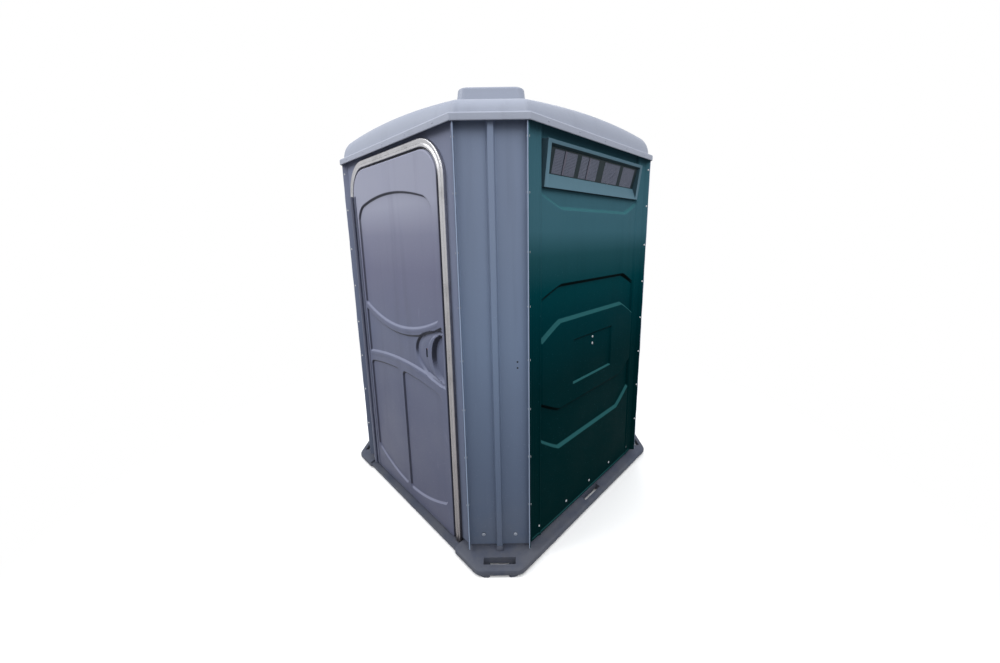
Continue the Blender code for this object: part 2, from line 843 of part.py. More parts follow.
def make_base():
    """Moulded base: rounded rim, corner pads with hand slots, a curb that the walls lap."""
    pad = corner_reach() + PAD_DEPTH
    curb = HALF_WIDTH - SHEET - FIT_GAP
    curb_reach = corner_reach() - SHEET - FIT_GAP
    inner = curb - CURB_WIDTH
    inner_reach = curb_reach - CURB_WIDTH
    form = loft([
        base_loop(BASE_HALF - RIM_BEVEL, pad - RIM_BEVEL, BASE_UNDERSIDE),
        base_loop(BASE_HALF, pad, BASE_UNDERSIDE + RIM_BEVEL),
    ] + crest_loops(pad) + [
        base_loop(curb + CURB_WIDTH, curb_reach + CURB_WIDTH, DECK_HEIGHT, CURB_RADIUS),
        base_loop(curb, curb_reach, DECK_HEIGHT, CURB_RADIUS),
        base_loop(curb, curb_reach, CURB_HEIGHT, CURB_RADIUS),
        base_loop(inner, inner_reach, CURB_HEIGHT, CURB_RADIUS),
        base_loop(inner - CURB_DRAFT, inner_reach - CURB_DRAFT, FLOOR_HEIGHT, CURB_RADIUS),
    ])
    base = put("base", form, BASE_COLOUR, 0.6)
    combine(base, make_base_feet(pad), 'UNION')
    combine(base, make_base_slots(), 'DIFFERENCE')
    for cut in make_entry_cuts():
        combine(base, cut, 'DIFFERENCE')
    return base


def make_base_feet(pad):
    """Two feet under each pad's edge and two long runners under the floor."""
    form = bmesh.new()
    top = BASE_UNDERSIDE + SINK
    near, far = FOOT_SPAN
    outer = pad - FOOT_INSET
    small, large = FOOT_SMALL_RADIUS, FOOT_RADIUS
    inner = outer - FOOT_DEPTH
    for quarter in range(4):
        turn = Matrix.Rotation(math.pi / 4 + quarter * math.pi / 2, 2)
        left = fillet(rectangle(inner, near, outer, far), [small, small, large, small], 2)
        right = fillet(rectangle(inner, -far, outer, -near), [small, large, small, small], 2)
        for foot in (left, right):
            prism([turn @ corner for corner in foot], 0.0, top, form=form)
    for sign in (-1, 1):
        side = sign * RUNNER_OFFSET
        block((side - RUNNER_WIDTH / 2, -RUNNER_HALF_LENGTH, 0.0),
              (side + RUNNER_WIDTH / 2, RUNNER_HALF_LENGTH, top), form=form)
    return tool("base_feet_tool", form)


def make_base_slots():
    """Hand slots in the corner pads and a notch at the middle of three sides."""
    form = bmesh.new()
    deep, high = -OVERRUN, DECK_HEIGHT + OVERRUN
    middle = corner_reach() + SLOT_FROM_PANEL
    for quarter in range(4):
        turn = Matrix.Rotation(math.pi / 4 + quarter * math.pi / 2, 2)
        slot = rectangle(middle - SLOT_WIDTH / 2, -SLOT_LENGTH / 2,
                         middle + SLOT_WIDTH / 2, SLOT_LENGTH / 2)
        prism([turn @ corner for corner in slot], deep, high, form=form)
    for quarter in (RIGHT, BACK, LEFT):
        turn = Matrix.Rotation(quarter * math.pi / 2, 2)
        notch = rectangle(HALF_WIDTH, -NOTCH_LENGTH / 2, HALF_WIDTH + NOTCH_WIDTH, NOTCH_LENGTH / 2)
        prism([turn @ corner for corner in notch], deep, high, form=form)
    return tool("base_slot_tool", form)


def make_entry_cuts():
    """The flat entry: the deck in front of the doorway, then the gap through the curb."""
    front = -(HALF_WIDTH - SHEET - FIT_GAP)
    wide = OPENING_HALF + TRIM_WIDTH + THRESHOLD_MARGIN
    deck = block((DOOR_MIDDLE - wide, -BASE_HALF - OVERRUN, FLOOR_HEIGHT),
                 (DOOR_MIDDLE + wide, front, DECK_HEIGHT + OVERRUN))
    side = OPENING_HALF + TRIM_WALL + FIT_GAP
    curb = block((DOOR_MIDDLE - side, front - OVERRUN, FLOOR_HEIGHT),
                 (DOOR_MIDDLE + side, front + CURB_WIDTH + CURB_DRAFT + OVERRUN, CURB_HEIGHT + OVERRUN))
    edge = -BASE_HALF + THRESHOLD_SETBACK
    setback = [Vector((-THRESHOLD_HALF, edge)), Vector((-THRESHOLD_HALF - OVERRUN, edge - OVERRUN)),
               Vector((THRESHOLD_HALF + OVERRUN, edge - OVERRUN)), Vector((THRESHOLD_HALF, edge))]
    nose = prism(setback, -OVERRUN, DECK_HEIGHT + OVERRUN)
    return [tool("entry_deck_tool", deck), tool("entry_curb_tool", curb), tool("entry_nose_tool", nose)]


# Wall panels

def stepped_edge(shares):
    """An edge across the field, from left to right, that steps between its ends and its middle."""
    half = field_half()
    shoulder = half * NOTCH_SHARE
    end, middle = [relief_height(share) for share in shares]
    return [Vector((-half, end)), Vector((-shoulder, middle)),
            Vector((shoulder, middle)), Vector((half, end))]


def sunk_band(lower_edge, upper_edge):
    """A band of the field between two edges, its corners rounded."""
    outline = fillet(lower_edge + upper_edge[::-1], RELIEF_RADIUS, RELIEF_STEPS)
    return Region(outline, -FIELD_SINK, FIELD_DRAFT)


def wall_relief():
    """Sunk bands that leave a lower form, an octagon and a spool standing, and what is on these."""
    half = field_half()
    under_vent = VENT_FOOT - FIELD_UNDER_VENT
    bands = [
        sunk_band(stepped_edge(LOWER_SHARES), stepped_edge(OCTAGON_SHARES[:2])),
        sunk_band(stepped_edge(OCTAGON_SHARES[:1:-1]), stepped_edge(SPOOL_SHARES[:2])),
        sunk_band(stepped_edge(SPOOL_SHARES[:1:-1]),
                  [Vector((-half, under_vent)), Vector((half, under_vent))]),
    ]
    shoulder = half * NOTCH_SHARE
    spool_foot, spool_top = [relief_height(share) for share in SPOOL_SHARES[1:3]]
    plateau = rectangle(-shoulder, spool_foot + PLATEAU_INSET, shoulder, spool_top - PLATEAU_INSET)
    plate_half = half * PLATE_HALF_SHARE
    plate_foot, plate_top = [relief_height(share) for share in PLATE_SHARES]
    plate = rectangle(-plate_half, plate_foot, plate_half, plate_top)
    return bands + [Region(plateau, PLATEAU_RISE, PLATEAU_DRAFT), Region(plate, -PLATE_SINK, PLATE_DRAFT)]


def border_beads():
    """The upright beads in a panel's two border strips."""
    foot, top = [wall_height(share) for share in BEAD_SPAN_SHARES]
    near = panel_half() - BEAD_FROM_EDGE - BEAD_WIDTH / 2
    far = near + BEAD_WIDTH
    return [Region(rectangle(left, foot, right, top), BEAD_RISE, BEAD_DRAFT)
            for left, right in ((-far, -near), (near, far))]


def make_wall_panels():
    """Three like panels with a vent window each, from one mould."""
    half = panel_half()
    form = bmesh.new()
    outline = ring(form, rectangle(-half, WALL_FOOT, half, wall_top()), 0.0)
    window = Region(rectangle(-VENT_HOLE_HALF, VENT_HOLE_FOOT, VENT_HOLE_HALF, VENT_HOLE_TOP))
    fill_field(form, outline, 0.0, [window] + wall_relief() + border_beads())
    standing_seams(form, outline, -half, half, SEAM_REACH)
    shift = Vector((0, 0, HALF_WIDTH))
    first = put_sheet("wall_panel_right", form, SHEET, side_frame(RIGHT, shift), PANEL_COLOUR, 0.45)
    return [first, repeat("wall_panel_back", first, side_frame(BACK, shift), PANEL_COLOUR, 0.45),
            repeat("wall_panel_left", first, side_frame(LEFT, shift), PANEL_COLOUR, 0.45)]


def vent_loop(half, foot, foot_out, top, top_out):
    """A rectangular loop whose upper edge stands further out than its lower edge."""
    return [Vector((-half, foot, foot_out)), Vector((half, foot, foot_out)),
            Vector((half, top, top_out)), Vector((-half, top, top_out))]


def make_vent_frames():
    """Leaning vent frames of flat faces: a proud top edge, a deep sill, a seat for the screen."""
    hole = VENT_HOLE_HALF - FIT_GAP
    hole_foot, hole_top = VENT_HOLE_FOOT + FIT_GAP, VENT_HOLE_TOP - FIT_GAP
    back = hole - VENT_WALL
    rim_foot, rim_top = VENT_FOOT + VENT_RIM_INSET, VENT_TOP - VENT_RIM_INSET
    rim_lean = (VENT_PROUD - VENT_LIP) / (rim_top - rim_foot)
    sill_out = VENT_LIP + rim_lean * (VENT_SILL - VENT_RIM_INSET)
    cap_out = VENT_PROUD - rim_lean * (VENT_CAP - VENT_RIM_INSET)
    pane_step = SCREEN_THICKNESS * 2 * PANE_DEEP / (PANE_TOP - PANE_FOOT)
    loops = [
        vent_loop(VENT_HALF, VENT_FOOT, FIT_GAP, VENT_TOP, FIT_GAP),
        vent_loop(VENT_HALF, rim_foot, VENT_LIP, rim_top, VENT_PROUD),
        vent_loop(PANE_HALF, VENT_FOOT + VENT_SILL, sill_out, VENT_TOP - VENT_CAP, cap_out),
        vent_loop(PANE_HALF, PANE_FOOT, -PANE_DEEP, PANE_TOP, PANE_DEEP),
        vent_loop(back, PANE_FOOT - SCREEN_THICKNESS, -PANE_DEEP - VENT_BACK - pane_step,
                  PANE_TOP + SCREEN_THICKNESS, PANE_DEEP - VENT_BACK + pane_step),
        vent_loop(back, hole_foot + VENT_WALL, -VENT_DEPTH, hole_top - VENT_WALL, -VENT_DEPTH),
        vent_loop(hole, hole_foot, -VENT_DEPTH, hole_top, -VENT_DEPTH),
        vent_loop(hole, hole_foot, FIT_GAP, hole_top, FIT_GAP),
    ]
    form = bmesh.new()
    made = [[form.verts.new(p) for p in loop] for loop in loops]
    for lower, upper in zip(made, made[1:] + made[:1]):
        bridge(form, lower, upper)
    shift = Vector((0, 0, HALF_WIDTH))
    first = put("vent_frame_right", form, PANEL_COLOUR, 0.45, frame=side_frame(RIGHT, shift))
    return [first, repeat("vent_frame_back", first, side_frame(BACK, shift), PANEL_COLOUR, 0.45),
            repeat("vent_frame_left", first, side_frame(LEFT, shift), PANEL_COLOUR, 0.45)]


def make_vent_screens():
    """Slotted screens in groups of panes, lying in the leaning frames."""
    run, lean = PANE_TOP - PANE_FOOT, 2 * PANE_DEEP
    length = math.hypot(run, lean)
    half = PANE_HALF - SCREEN_CLEARANCE
    low, high = -length / 2 + SCREEN_CLEARANCE, length / 2 - SCREEN_CLEARANCE
    pitch = (high - low - 2 * SCREEN_MARGIN + SCREEN_BAR) / SCREEN_ROWS
    holes = []
    for left, right in [(PANE_HALF * first, PANE_HALF * last) for first, last in PANE_SHARES]:
        for row in range(SCREEN_ROWS):
            foot = low + SCREEN_MARGIN + row * pitch
            holes.append(rectangle(left, foot, right, foot + pitch - SCREEN_BAR))
    form = prism(rectangle(-half, low, half, high), -SCREEN_THICKNESS / 2, SCREEN_THICKNESS / 2, holes)
    tilt = Matrix.Rotation(math.atan2(lean, run), 4, 'X')
    middle = Vector((0, (PANE_FOOT + PANE_TOP) / 2, HALF_WIDTH - SCREEN_THICKNESS / 2))
    first = put("vent_screen_right", form, SCREEN_COLOUR, 0.5, frame=side_frame(RIGHT, middle) @ tilt)
    return [first, repeat("vent_screen_back", first, side_frame(BACK, middle) @ tilt, SCREEN_COLOUR),
            repeat("vent_screen_left", first, side_frame(LEFT, middle) @ tilt, SCREEN_COLOUR)]


# Corner panels

def make_corner_panels():
    """Four like corner panels: a channel between two standing seams, with one rib up its middle."""
    edge = CORNER_CUT / ROOT2 - SHEET - FIT_GAP
    profile = [(-edge, SEAM_REACH), (-edge, 0.0), (-RIB_BASE / 2, 0.0), (-RIB_TOP / 2, RIB_RISE),
               (RIB_TOP / 2, RIB_RISE), (RIB_BASE / 2, 0.0), (edge, 0.0), (edge, SEAM_REACH)]
    form = bmesh.new()
    low = [form.verts.new((u, WALL_FOOT, w)) for u, w in profile]
    high = [form.verts.new((u, wall_top(), w)) for u, w in profile]
    bridge(form, low, high, closed=False)
    names = ("corner_panel_back_right", "corner_panel_back_left", "corner_panel_front_left",
             "corner_panel_front_right")
    shift = Matrix.Translation(Vector((0, 0, corner_reach())))
    first = put_sheet(names[0], form, SHEET, corner_frame(0) @ shift, CABIN_COLOUR)
    return [first] + [repeat(name, first, corner_frame(quarter) @ shift, CABIN_COLOUR)
                      for quarter, name in enumerate(names) if quarter]


# Front frame and trim

def opening_path(outset, foot):
    """The doorway's outline from one foot over the top to the other, moved outwards."""
    half, top = OPENING_HALF + outset, OPENING_TOP + outset
    radius = OPENING_RADIUS + outset
    left, right = DOOR_MIDDLE - half, DOOR_MIDDLE + half
    points = [Vector((left, foot))]
    points += ellipse(radius, radius, ARC_STEPS, Vector((left + radius, top - radius)), math.pi, -math.pi / 2)
    points += ellipse(radius, radius, ARC_STEPS, Vector((right - radius, top - radius)),
                      math.pi / 2, -math.pi / 2)
    points.append(Vector((right, foot)))
    return points


def make_front_frame():
    """Front sheet round the doorway, open at the foot, with the corner seams' flanges."""
    half = panel_half()
    form = bmesh.new()
    inner = opening_path(TRIM_WALL + FIT_GAP, WALL_FOOT)
    outline = [Vector((-half, WALL_FOOT))] + inner + [Vector((half, WALL_FOOT)), Vector((half, wall_top())),
                                                      Vector((-half, wall_top()))]
    loop = ring(form, outline, 0.0)
    fill(form, [loop])
    standing_seams(form, loop, -half, half, SEAM_REACH)
    return put_sheet("front_frame", form, SHEET, side_frame(FRONT, Vector((0, 0, HALF_WIDTH))), CABIN_COLOUR)


def make_jamb_trim():
    """Metal jamb round the doorway: outer band, web through the wall, stop for the leaf."""
    band = TRIM_WIDTH
    face, back = leaf_face(), HALF_WIDTH + FIT_GAP
    profile = [
        (band, back), (band, face - TRIM_ROUND), (band - TRIM_ROUND, face), (TRIM_ROUND / 2, face),
        (0.0, face - TRIM_ROUND / 2), (0.0, stop_face()), (-STOP_REACH, stop_face()),
        (-STOP_REACH, stop_back()), (TRIM_WALL, stop_back()), (TRIM_WALL, face - TRIM_WALL),
        (band - TRIM_ROUND, face - TRIM_WALL), (band - TRIM_WALL, face - TRIM_ROUND),
        (band - TRIM_WALL, back),
    ]
    foot = FLOOR_HEIGHT + FIT_GAP
    form = bmesh.new()
    lines = []
    for outset, out in profile:
        lines.append([form.verts.new((p.x, p.y, out)) for p in opening_path(outset, foot)])
    for line, after in zip(lines, lines[1:] + lines[:1]):
        bridge(form, line, after, closed=False)
    for end in (0, -1):
        form.faces.new([line[end] for line in lines])
    return put("jamb_trim", form, TRIM_COLOUR, 0.25, 0.9, side_frame(FRONT), smooth=True)


# Door leaf

def leaf_outline(margin):
    """Outline of the leaf about its own middle, moved inwards by a margin."""
    half = leaf_half() - margin
    top, foot = leaf_top() - margin, LEAF_FOOT + margin
    radius = OPENING_RADIUS - DOOR_GAP - margin
    small = LEAF_FOOT_RADIUS - margin
    points = ellipse(small, small, 2, Vector((-half + small, foot + small)), math.pi, math.pi / 2)
    points += ellipse(small, small, 2, Vector((half - small, foot + small)), 3 * math.pi / 2, math.pi / 2)
    points += ellipse(radius, radius, ARC_STEPS, Vector((half - radius, top - radius)), 0.0, math.pi / 2)
    points += ellipse(radius, radius, ARC_STEPS, Vector((-half + radius, top - radius)), math.pi / 2,
                      math.pi / 2)
    return points


def by_leaf(shares):
    """Heights of a curve's ends and middle, from shares of the leaf."""
    return [leaf_height(share) for share in shares]


def by_latch(rises):
    """Heights of a curve's ends and middle, from their rises over the latch."""
    return [LATCH_HEIGHT + rise for rise in rises]


def curved_panel(left, right, foot_line, top_line, arc_left=None, arc_right=None):
    """Outline between two shallow curves drawn over the leaf's full field."""
    wide_left = arc_left if arc_left is not None else left
    wide_right = arc_right if arc_right is not None else right

    def curve(line, x):
        ends, middle = line
        reach = (wide_right - wide_left) / 2
        return middle + (ends - middle) * ((x - (wide_left + wide_right) / 2) / reach) ** 2

    xs = [left + (right - left) * i / DOOR_CURVE_STEPS for i in range(DOOR_CURVE_STEPS + 1)]
    points = [Vector((x, curve(foot_line, x))) for x in xs]
    points += [Vector((x, curve(top_line, x))) for x in reversed(xs)]
    return points


def half_ellipse(edge, width, half_height, steps):
    """A half ellipse with its straight side at an edge, bulging away from it."""
    return ellipse(width, half_height, steps, Vector((edge, LATCH_HEIGHT)), math.pi / 2, math.pi)


def pull_recess():
    """The crescent and the finger pocket in it, and the indicator's window."""
    edge = leaf_half() - BAND_LATCH_EDGE - DOOR_DRAFT
    crescent_edge = edge - CRESCENT_EDGE + DOOR_DRAFT / 2
    pocket_edge = crescent_edge - POCKET_EDGE
    pocket_width = crescent_width() * POCKET_WIDTH_SHARE
    pocket = Region(half_ellipse(pocket_edge, pocket_width, POCKET_HALF_HEIGHT, ARC_STEPS * 2),
                    -POCKET_SINK, POCKET_DRAFT)
    middle = leaf_half() * (1 - WINDOW_SHARE)
    window = Region(rectangle(middle - WINDOW_WIDTH / 2, LATCH_HEIGHT - WINDOW_HEIGHT / 2,
                              middle + WINDOW_WIDTH / 2, LATCH_HEIGHT + WINDOW_HEIGHT / 2))
    return Region(half_ellipse(crescent_edge, crescent_width(), CRESCENT_HALF_HEIGHT, ARC_STEPS * 2),
                  -CRESCENT_SINK, CRESCENT_DRAFT, [pocket, window])


def door_relief():
    """Sunk panels of the door: an arched one, a waisted band with the pull, two lower ones."""
    side = leaf_half() * DOOR_SIDE_SHARE
    latch_side = leaf_half() - BAND_LATCH_EDGE
    divider = DOOR_DIVIDER / 2
    lower_foot, lower_top = by_leaf(LOWER_FOOT_SHARES), by_latch(LOWER_TOP_RISES)
    arched = curved_panel(-side, side, by_latch(SMILE_RISES), by_leaf(ARCH_SHARES))
    band = curved_panel(-side, latch_side, by_latch(BAND_FOOT_RISES), by_latch(BAND_TOP_RISES), -side, side)
    left = curved_panel(-side, DOOR_DIVIDER_SHIFT - divider, lower_foot, lower_top, -side, side)
    right = curved_panel(DOOR_DIVIDER_SHIFT + divider, side, lower_foot, lower_top, -side, side)
    return [Region(arched, -DOOR_RECESS, DOOR_DRAFT), Region(band, -DOOR_RECESS, DOOR_DRAFT, [pull_recess()]),
            Region(left, -DOOR_RECESS, DOOR_DRAFT), Region(right, -DOOR_RECESS, DOOR_DRAFT)]


def pan_sheet(regions):
    """A sheet of the leaf's outline with turned-back edges."""
    form = bmesh.new()
    face = ring(form, leaf_outline(SKIN_EDGE), 0.0)
    edge = ring(form, leaf_outline(0.0), -SKIN_EDGE)
    rim = ring(form, leaf_outline(0.0), -RIM_DEPTH)
    bridge(form, edge, face)
    bridge(form, rim, edge)
    fill_field(form, face, 0.0, regions)
    return form


def make_door_skins():
    """Outer and inner skins of the leaf, two shallow pans that meet rim to rim."""
    outer_frame = side_frame(FRONT, Vector((DOOR_MIDDLE, 0, leaf_face())))
    outer = put_sheet("door_outer_skin", pan_sheet(door_relief()), SKIN, outer_frame, DOOR_COLOUR)
    side = leaf_half() * DOOR_SIDE_SHARE
    bore = Region(ellipse(SPINDLE_RADIUS + SPINDLE_CLEARANCE, SPINDLE_RADIUS + SPINDLE_CLEARANCE,
                          ROUND_SIDES, Vector((-spindle_u(), LATCH_HEIGHT))))
    inner_regions = [
        Region(curved_panel(-side, side, by_latch(SMILE_RISES), by_leaf(ARCH_SHARES)),
               -INNER_RECESS, DOOR_DRAFT),
        Region(curved_panel(-side, side, by_leaf(LOWER_FOOT_SHARES), by_latch(LOWER_TOP_RISES)),
               -INNER_RECESS, DOOR_DRAFT),
        bore,
    ]
    inner_frame = side_frame(BACK, Vector((-DOOR_MIDDLE, 0, -leaf_back())))
    inner = put_sheet("door_inner_skin", pan_sheet(inner_regions), SKIN, inner_frame, DOOR_COLOUR)
    return [outer, inner]


# Hinge

def hinge_span():
    """Lower and upper end of the hinge."""
    return LEAF_FOOT + HINGE_END, leaf_top() - OPENING_RADIUS + DOOR_GAP


def make_hinge_half(name, own, side, face):
    """One plate with its knuckles: side -1 lies on the trim, side 1 on the leaf."""
    low, high = hinge_span()
    x, y = hinge_axis_x(), hinge_axis_y()
    plate_front = -(face + FIT_GAP + HINGE_PLATE)
    clear = HINGE_RADIUS + HINGE_CLEAR
    far = x + side * (clear + HINGE_PLATE_WIDTH)
    near = x + side * clear
    length = (high - low) / HINGE_KNUCKLES
    hinge = put(name, block((min(near, far), plate_front, low), (max(near, far), -face - FIT_GAP, high)),
                STEEL_COLOUR, 0.35, 0.9)
    joined = bmesh.new()
    for index in own:
        start = low + index * length + HINGE_END_PLAY / 2
        end = low + (index + 1) * length - HINGE_END_PLAY / 2
        bore = HINGE_PIN_RADIUS + HINGE_BORE_CLEARANCE
        outer = ellipse(HINGE_RADIUS, HINGE_RADIUS, ROUND_SIDES, Vector((x, y)))
        joined = prism(outer, start, end, [ellipse(bore, bore, ROUND_SIDES, Vector((x, y)))], form=joined)
    knuckles = tool(name + "_knuckle_tool", joined)
    webs = bmesh.new()
    for index in own:
        start = low + index * length + HINGE_END_PLAY / 2
        end = low + (index + 1) * length - HINGE_END_PLAY / 2
        outer_x = x + side * (clear + SINK)
        block((min(x, outer_x), plate_front, start), (max(x, outer_x), -face - FIT_GAP, end), form=webs)
    combine(hinge, tool(name + "_web_tool", webs), 'UNION')
    combine(hinge, knuckles, 'UNION')
    return hinge


def make_hinge():
    """Frame half, leaf half and the long pin between them."""
    frame_own = [i for i in range(HINGE_KNUCKLES) if i % 2 == 0]
    leaf_own = [i for i in range(HINGE_KNUCKLES) if i % 2 == 1]
    frame_half = make_hinge_half("hinge_frame_plate", frame_own, -1, leaf_face())
    leaf_plate = make_hinge_half("hinge_leaf_plate", leaf_own, 1, leaf_face())
    low, high = hinge_span()
    place = Vector((hinge_axis_x(), hinge_axis_y()))
    form = prism(ellipse(HINGE_PIN_RADIUS, HINGE_PIN_RADIUS, ROUND_SIDES, place), low, high)
    pin = put("hinge_pin", form, STEEL_COLOUR, 0.3, 0.9, smooth=True)
    return frame_half, leaf_plate, pin


# Privacy latch

def latch_place():
    """Latch axis in the world, on the leaf's inner face."""
    return Vector((DOOR_MIDDLE + spindle_u(), -leaf_back(), LATCH_HEIGHT))


def round_form(radius, start, end, centre, form=None, sides=ROUND_SIDES * 2):
    """A round disc or shaft in a side's frame."""
    return prism(ellipse(radius, radius, sides, centre), start, end, form=form)


def make_latch():
    """Indicator disc, spindle, lever with its tongue and grip, backing plate and keeper."""
    frame = side_frame(FRONT)
    centre = Vector((DOOR_MIDDLE + spindle_u(), LATCH_HEIGHT))
    disc_front = leaf_face() - DOOR_RECESS - CRESCENT_SINK - SKIN - FIT_GAP
    disc_back = disc_front - DISC_THICKNESS
    disc = put("indicator_disc", round_form(disc_radius(), disc_back, disc_front, centre),
               SIGN_COLOUR, 0.5, frame=frame, smooth=True)
    tongue_out = stop_back() - FIT_GAP - TONGUE_CLEAR
    tongue_in = tongue_out - TONGUE_THICKNESS
    spindle = put("latch_spindle", round_form(SPINDLE_RADIUS, tongue_out + FIT_GAP, disc_back - FIT_GAP,
                                              centre, sides=ROUND_SIDES), STEEL_COLOUR, 0.3, 0.9,
                  frame=frame, smooth=True)
    reach = OPENING_HALF - spindle_u() + TONGUE_OVERLAP
    half = TONGUE_WIDTH / 2
    bar = fillet(rectangle(centre.x - half, centre.y - reach, centre.x + half, centre.y + TONGUE_TAIL),
                 half * TONGUE_NOSE_SHARE, 2)
    lever = put("latch_lever", prism(bar, tongue_in, tongue_out), SEAT_COLOUR, 0.4, frame=frame)
    knob_in = tongue_in - KNOB_THICKNESS
    knob = round_form(KNOB_RADIUS, knob_in, tongue_out, centre)
    combine(lever, tool("latch_knob_tool", knob, frame), 'UNION')
    grip = fillet(rectangle(centre.x - GRIP_LENGTH / 2, centre.y - GRIP_WIDTH / 2,
                            centre.x + GRIP_LENGTH / 2, centre.y + GRIP_WIDTH / 2), GRIP_WIDTH / 3, 2)
    combine(lever, tool("latch_grip_tool", prism(grip, knob_in - GRIP_DEPTH, knob_in + SINK), frame), 'UNION')
    plate_out = leaf_back() - FIT_GAP
    bore = SPINDLE_RADIUS + SPINDLE_CLEARANCE
    disc_form = prism(ellipse(PLATE_RADIUS, PLATE_RADIUS, ROUND_SIDES * 2, centre),
                      plate_out - PLATE_THICKNESS, plate_out, [ellipse(bore, bore, ROUND_SIDES, centre)])
    plate = put("latch_backing_plate", disc_form, STEEL_COLOUR, 0.35, 0.9, frame=frame)
    return [disc, spindle, lever], plate, make_keeper()


def make_keeper():
    """Hooked keeper on the front sheet, which the tongue swings up behind."""
    wall = HALF_WIDTH - SHEET - FIT_GAP
    left = DOOR_MIDDLE + OPENING_HALF + KEEPER_FROM_OPENING
    inner = wall - KEEPER_DEPTH
    profile = [
        Vector((left, -wall)), Vector((left + KEEPER_FOOT, -wall)),
        Vector((left + KEEPER_FOOT, -wall + KEEPER_WALL)), Vector((left + KEEPER_WALL, -wall + KEEPER_WALL)),
        Vector((left + KEEPER_WALL, -inner)), Vector((left - KEEPER_HOOK, -inner)),
        Vector((left - KEEPER_HOOK, -inner - KEEPER_WALL)), Vector((left, -inner - KEEPER_WALL)),
    ]
    form = prism(profile, LATCH_HEIGHT - KEEPER_HEIGHT / 2, LATCH_HEIGHT + KEEPER_HEIGHT / 2)
    return put("latch_keeper", form, STEEL_COLOUR, 0.35, 0.9)


def bar_handle(name, frame, half_length, stand, bend, radius, sides, flange_radius, flange, upright):
    """A bar that bends into two round flanges: u or v is its long axis, w its stand."""
    def at(along, out):
        return Vector((0, along, out)) if upright else Vector((along, 0, out))

    low, high = at(-half_length, flange / 2), at(half_length, flange / 2)
    path = [low]
    path += bent_path(low, at(-half_length, stand), at(half_length, stand), bend, BAR_BEND_STEPS)
    path += bent_path(at(-half_length, stand), at(half_length, stand), high, bend, BAR_BEND_STEPS)
    path.append(high)
    bar = put(name, turned_along(path, radius, sides), STEEL_COLOUR, 0.3, 0.9, frame, smooth=True)
    form = bmesh.new()
    for end in (-half_length, half_length):
        spot = Vector((0, end)) if upright else Vector((end, 0))
        round_form(flange_radius, 0.0, flange, spot, form, sides=16)
    combine(bar, tool(name + "_flange_tool", form, frame), 'UNION')
    return bar


def make_inner_pull():
    """Upright pull handle inside the door."""
    place = Vector((-(DOOR_MIDDLE + leaf_half() - PULL_FROM_EDGE), PULL_HEIGHT, -leaf_back() + FIT_GAP))
    return bar_handle("door_inner_pull", side_frame(BACK, place), PULL_HALF_LENGTH, PULL_STAND, PULL_BEND,
                      PULL_RADIUS, ROUND_SIDES, PULL_FOOT_RADIUS, PULL_FOOT_THICKNESS, upright=True)


# Roof

def plan_loop(half, reach):
    """A chamfered square with points along its sides, and each point's place along its side.

    The place runs from -1 at the hood's corners to 1 at the other two.
    """
    corners = chamfered_square(half, reach)
    points, places = [], []
    for index, start in enumerate(corners):
        end = corners[(index + 1) % len(corners)]
        side, cut = divmod(index, 2)
        climbs = 1 if side % 2 == 0 else -1
        steps = CUT_STEPS if cut else SIDE_STEPS
        for step in range(steps):
            points.append(start.lerp(end, step / steps))
            places.append(climbs if cut else climbs * (2 * step / steps - 1))
    return points, places


def dome_rise(scale, place):
    """Height of the dome above the ledge: steep shoulder, then a shallow crown."""
    inner = 1 - SHOULDER_SHARE
    steep = min(1.0, (1 - scale) / SHOULDER_SHARE)
    shoulder = math.sqrt(max(0.0, 1 - (1 - steep) ** 2))
    edge = SHOULDER_RISE + SHOULDER_LEAN * place - SHOULDER_FALL * place ** 2
    height = CROWN_BASE + (edge - CROWN_BASE) * scale
    return shoulder * height + CROWN_RISE * max(0.0, inner ** 2 - scale ** 2)


def dome_loops(wall):
    """The dome's loops from its foot to its crown, drawn in by a wall."""
    ratio = shoulder_reach() / shoulder_half()
    scales = [1 - SHOULDER_SHARE * step for step in SHOULDER_STEPS] + list(CROWN_SHARES)
    loops = []
    for scale in scales:
        half = (shoulder_half() - wall) * scale
        points, places = plan_loop(half, half * ratio)
        loops.append([Vector((p.x, p.y, LEDGE_HEIGHT - wall + dome_rise(scale, s)))
                      for p, s in zip(points, places)])
    return loops


def brim_loop(half, reach_cut, height):
    """A level loop of the brim."""
    points, _ = plan_loop(half, (2 * half - reach_cut) / ROOT2)
    return level_loop(points, height)


def hood_loops(wall, root):
    """The raised hood along the diagonal, drawn in by a wall."""
    loops = []
    angles = [math.pi / 2 * i / HOOD_STEPS for i in range(HOOD_STEPS + 1)]
    rounding = [(HOOD_ROUND * (1 - math.cos(a)), HOOD_ROUND * (1 - math.sin(a))) for a in angles]
    side_foot = (0.0, HOOD_TOP - root)
    for taper, drop in [side_foot] + rounding:
        share = 1 - drop / (HOOD_TOP - root)
        length = HOOD_LENGTH_SHARE * shoulder_reach() - wall - HOOD_TAPER * share - taper
        width = HOOD_HALF_WIDTH - wall - HOOD_TAPER * share - taper
        points = fillet(rectangle(-length, -width, length, width), HOOD_CORNER - wall, 2)
        turn = Matrix.Rotation(-math.pi / 4, 2)
        moved = [turn @ (p + Vector((0.0, HOOD_SHIFT))) for p in points]
        loops.append([Vector((p.x, p.y, HOOD_TOP - wall - drop)) for p in moved])
    return loops


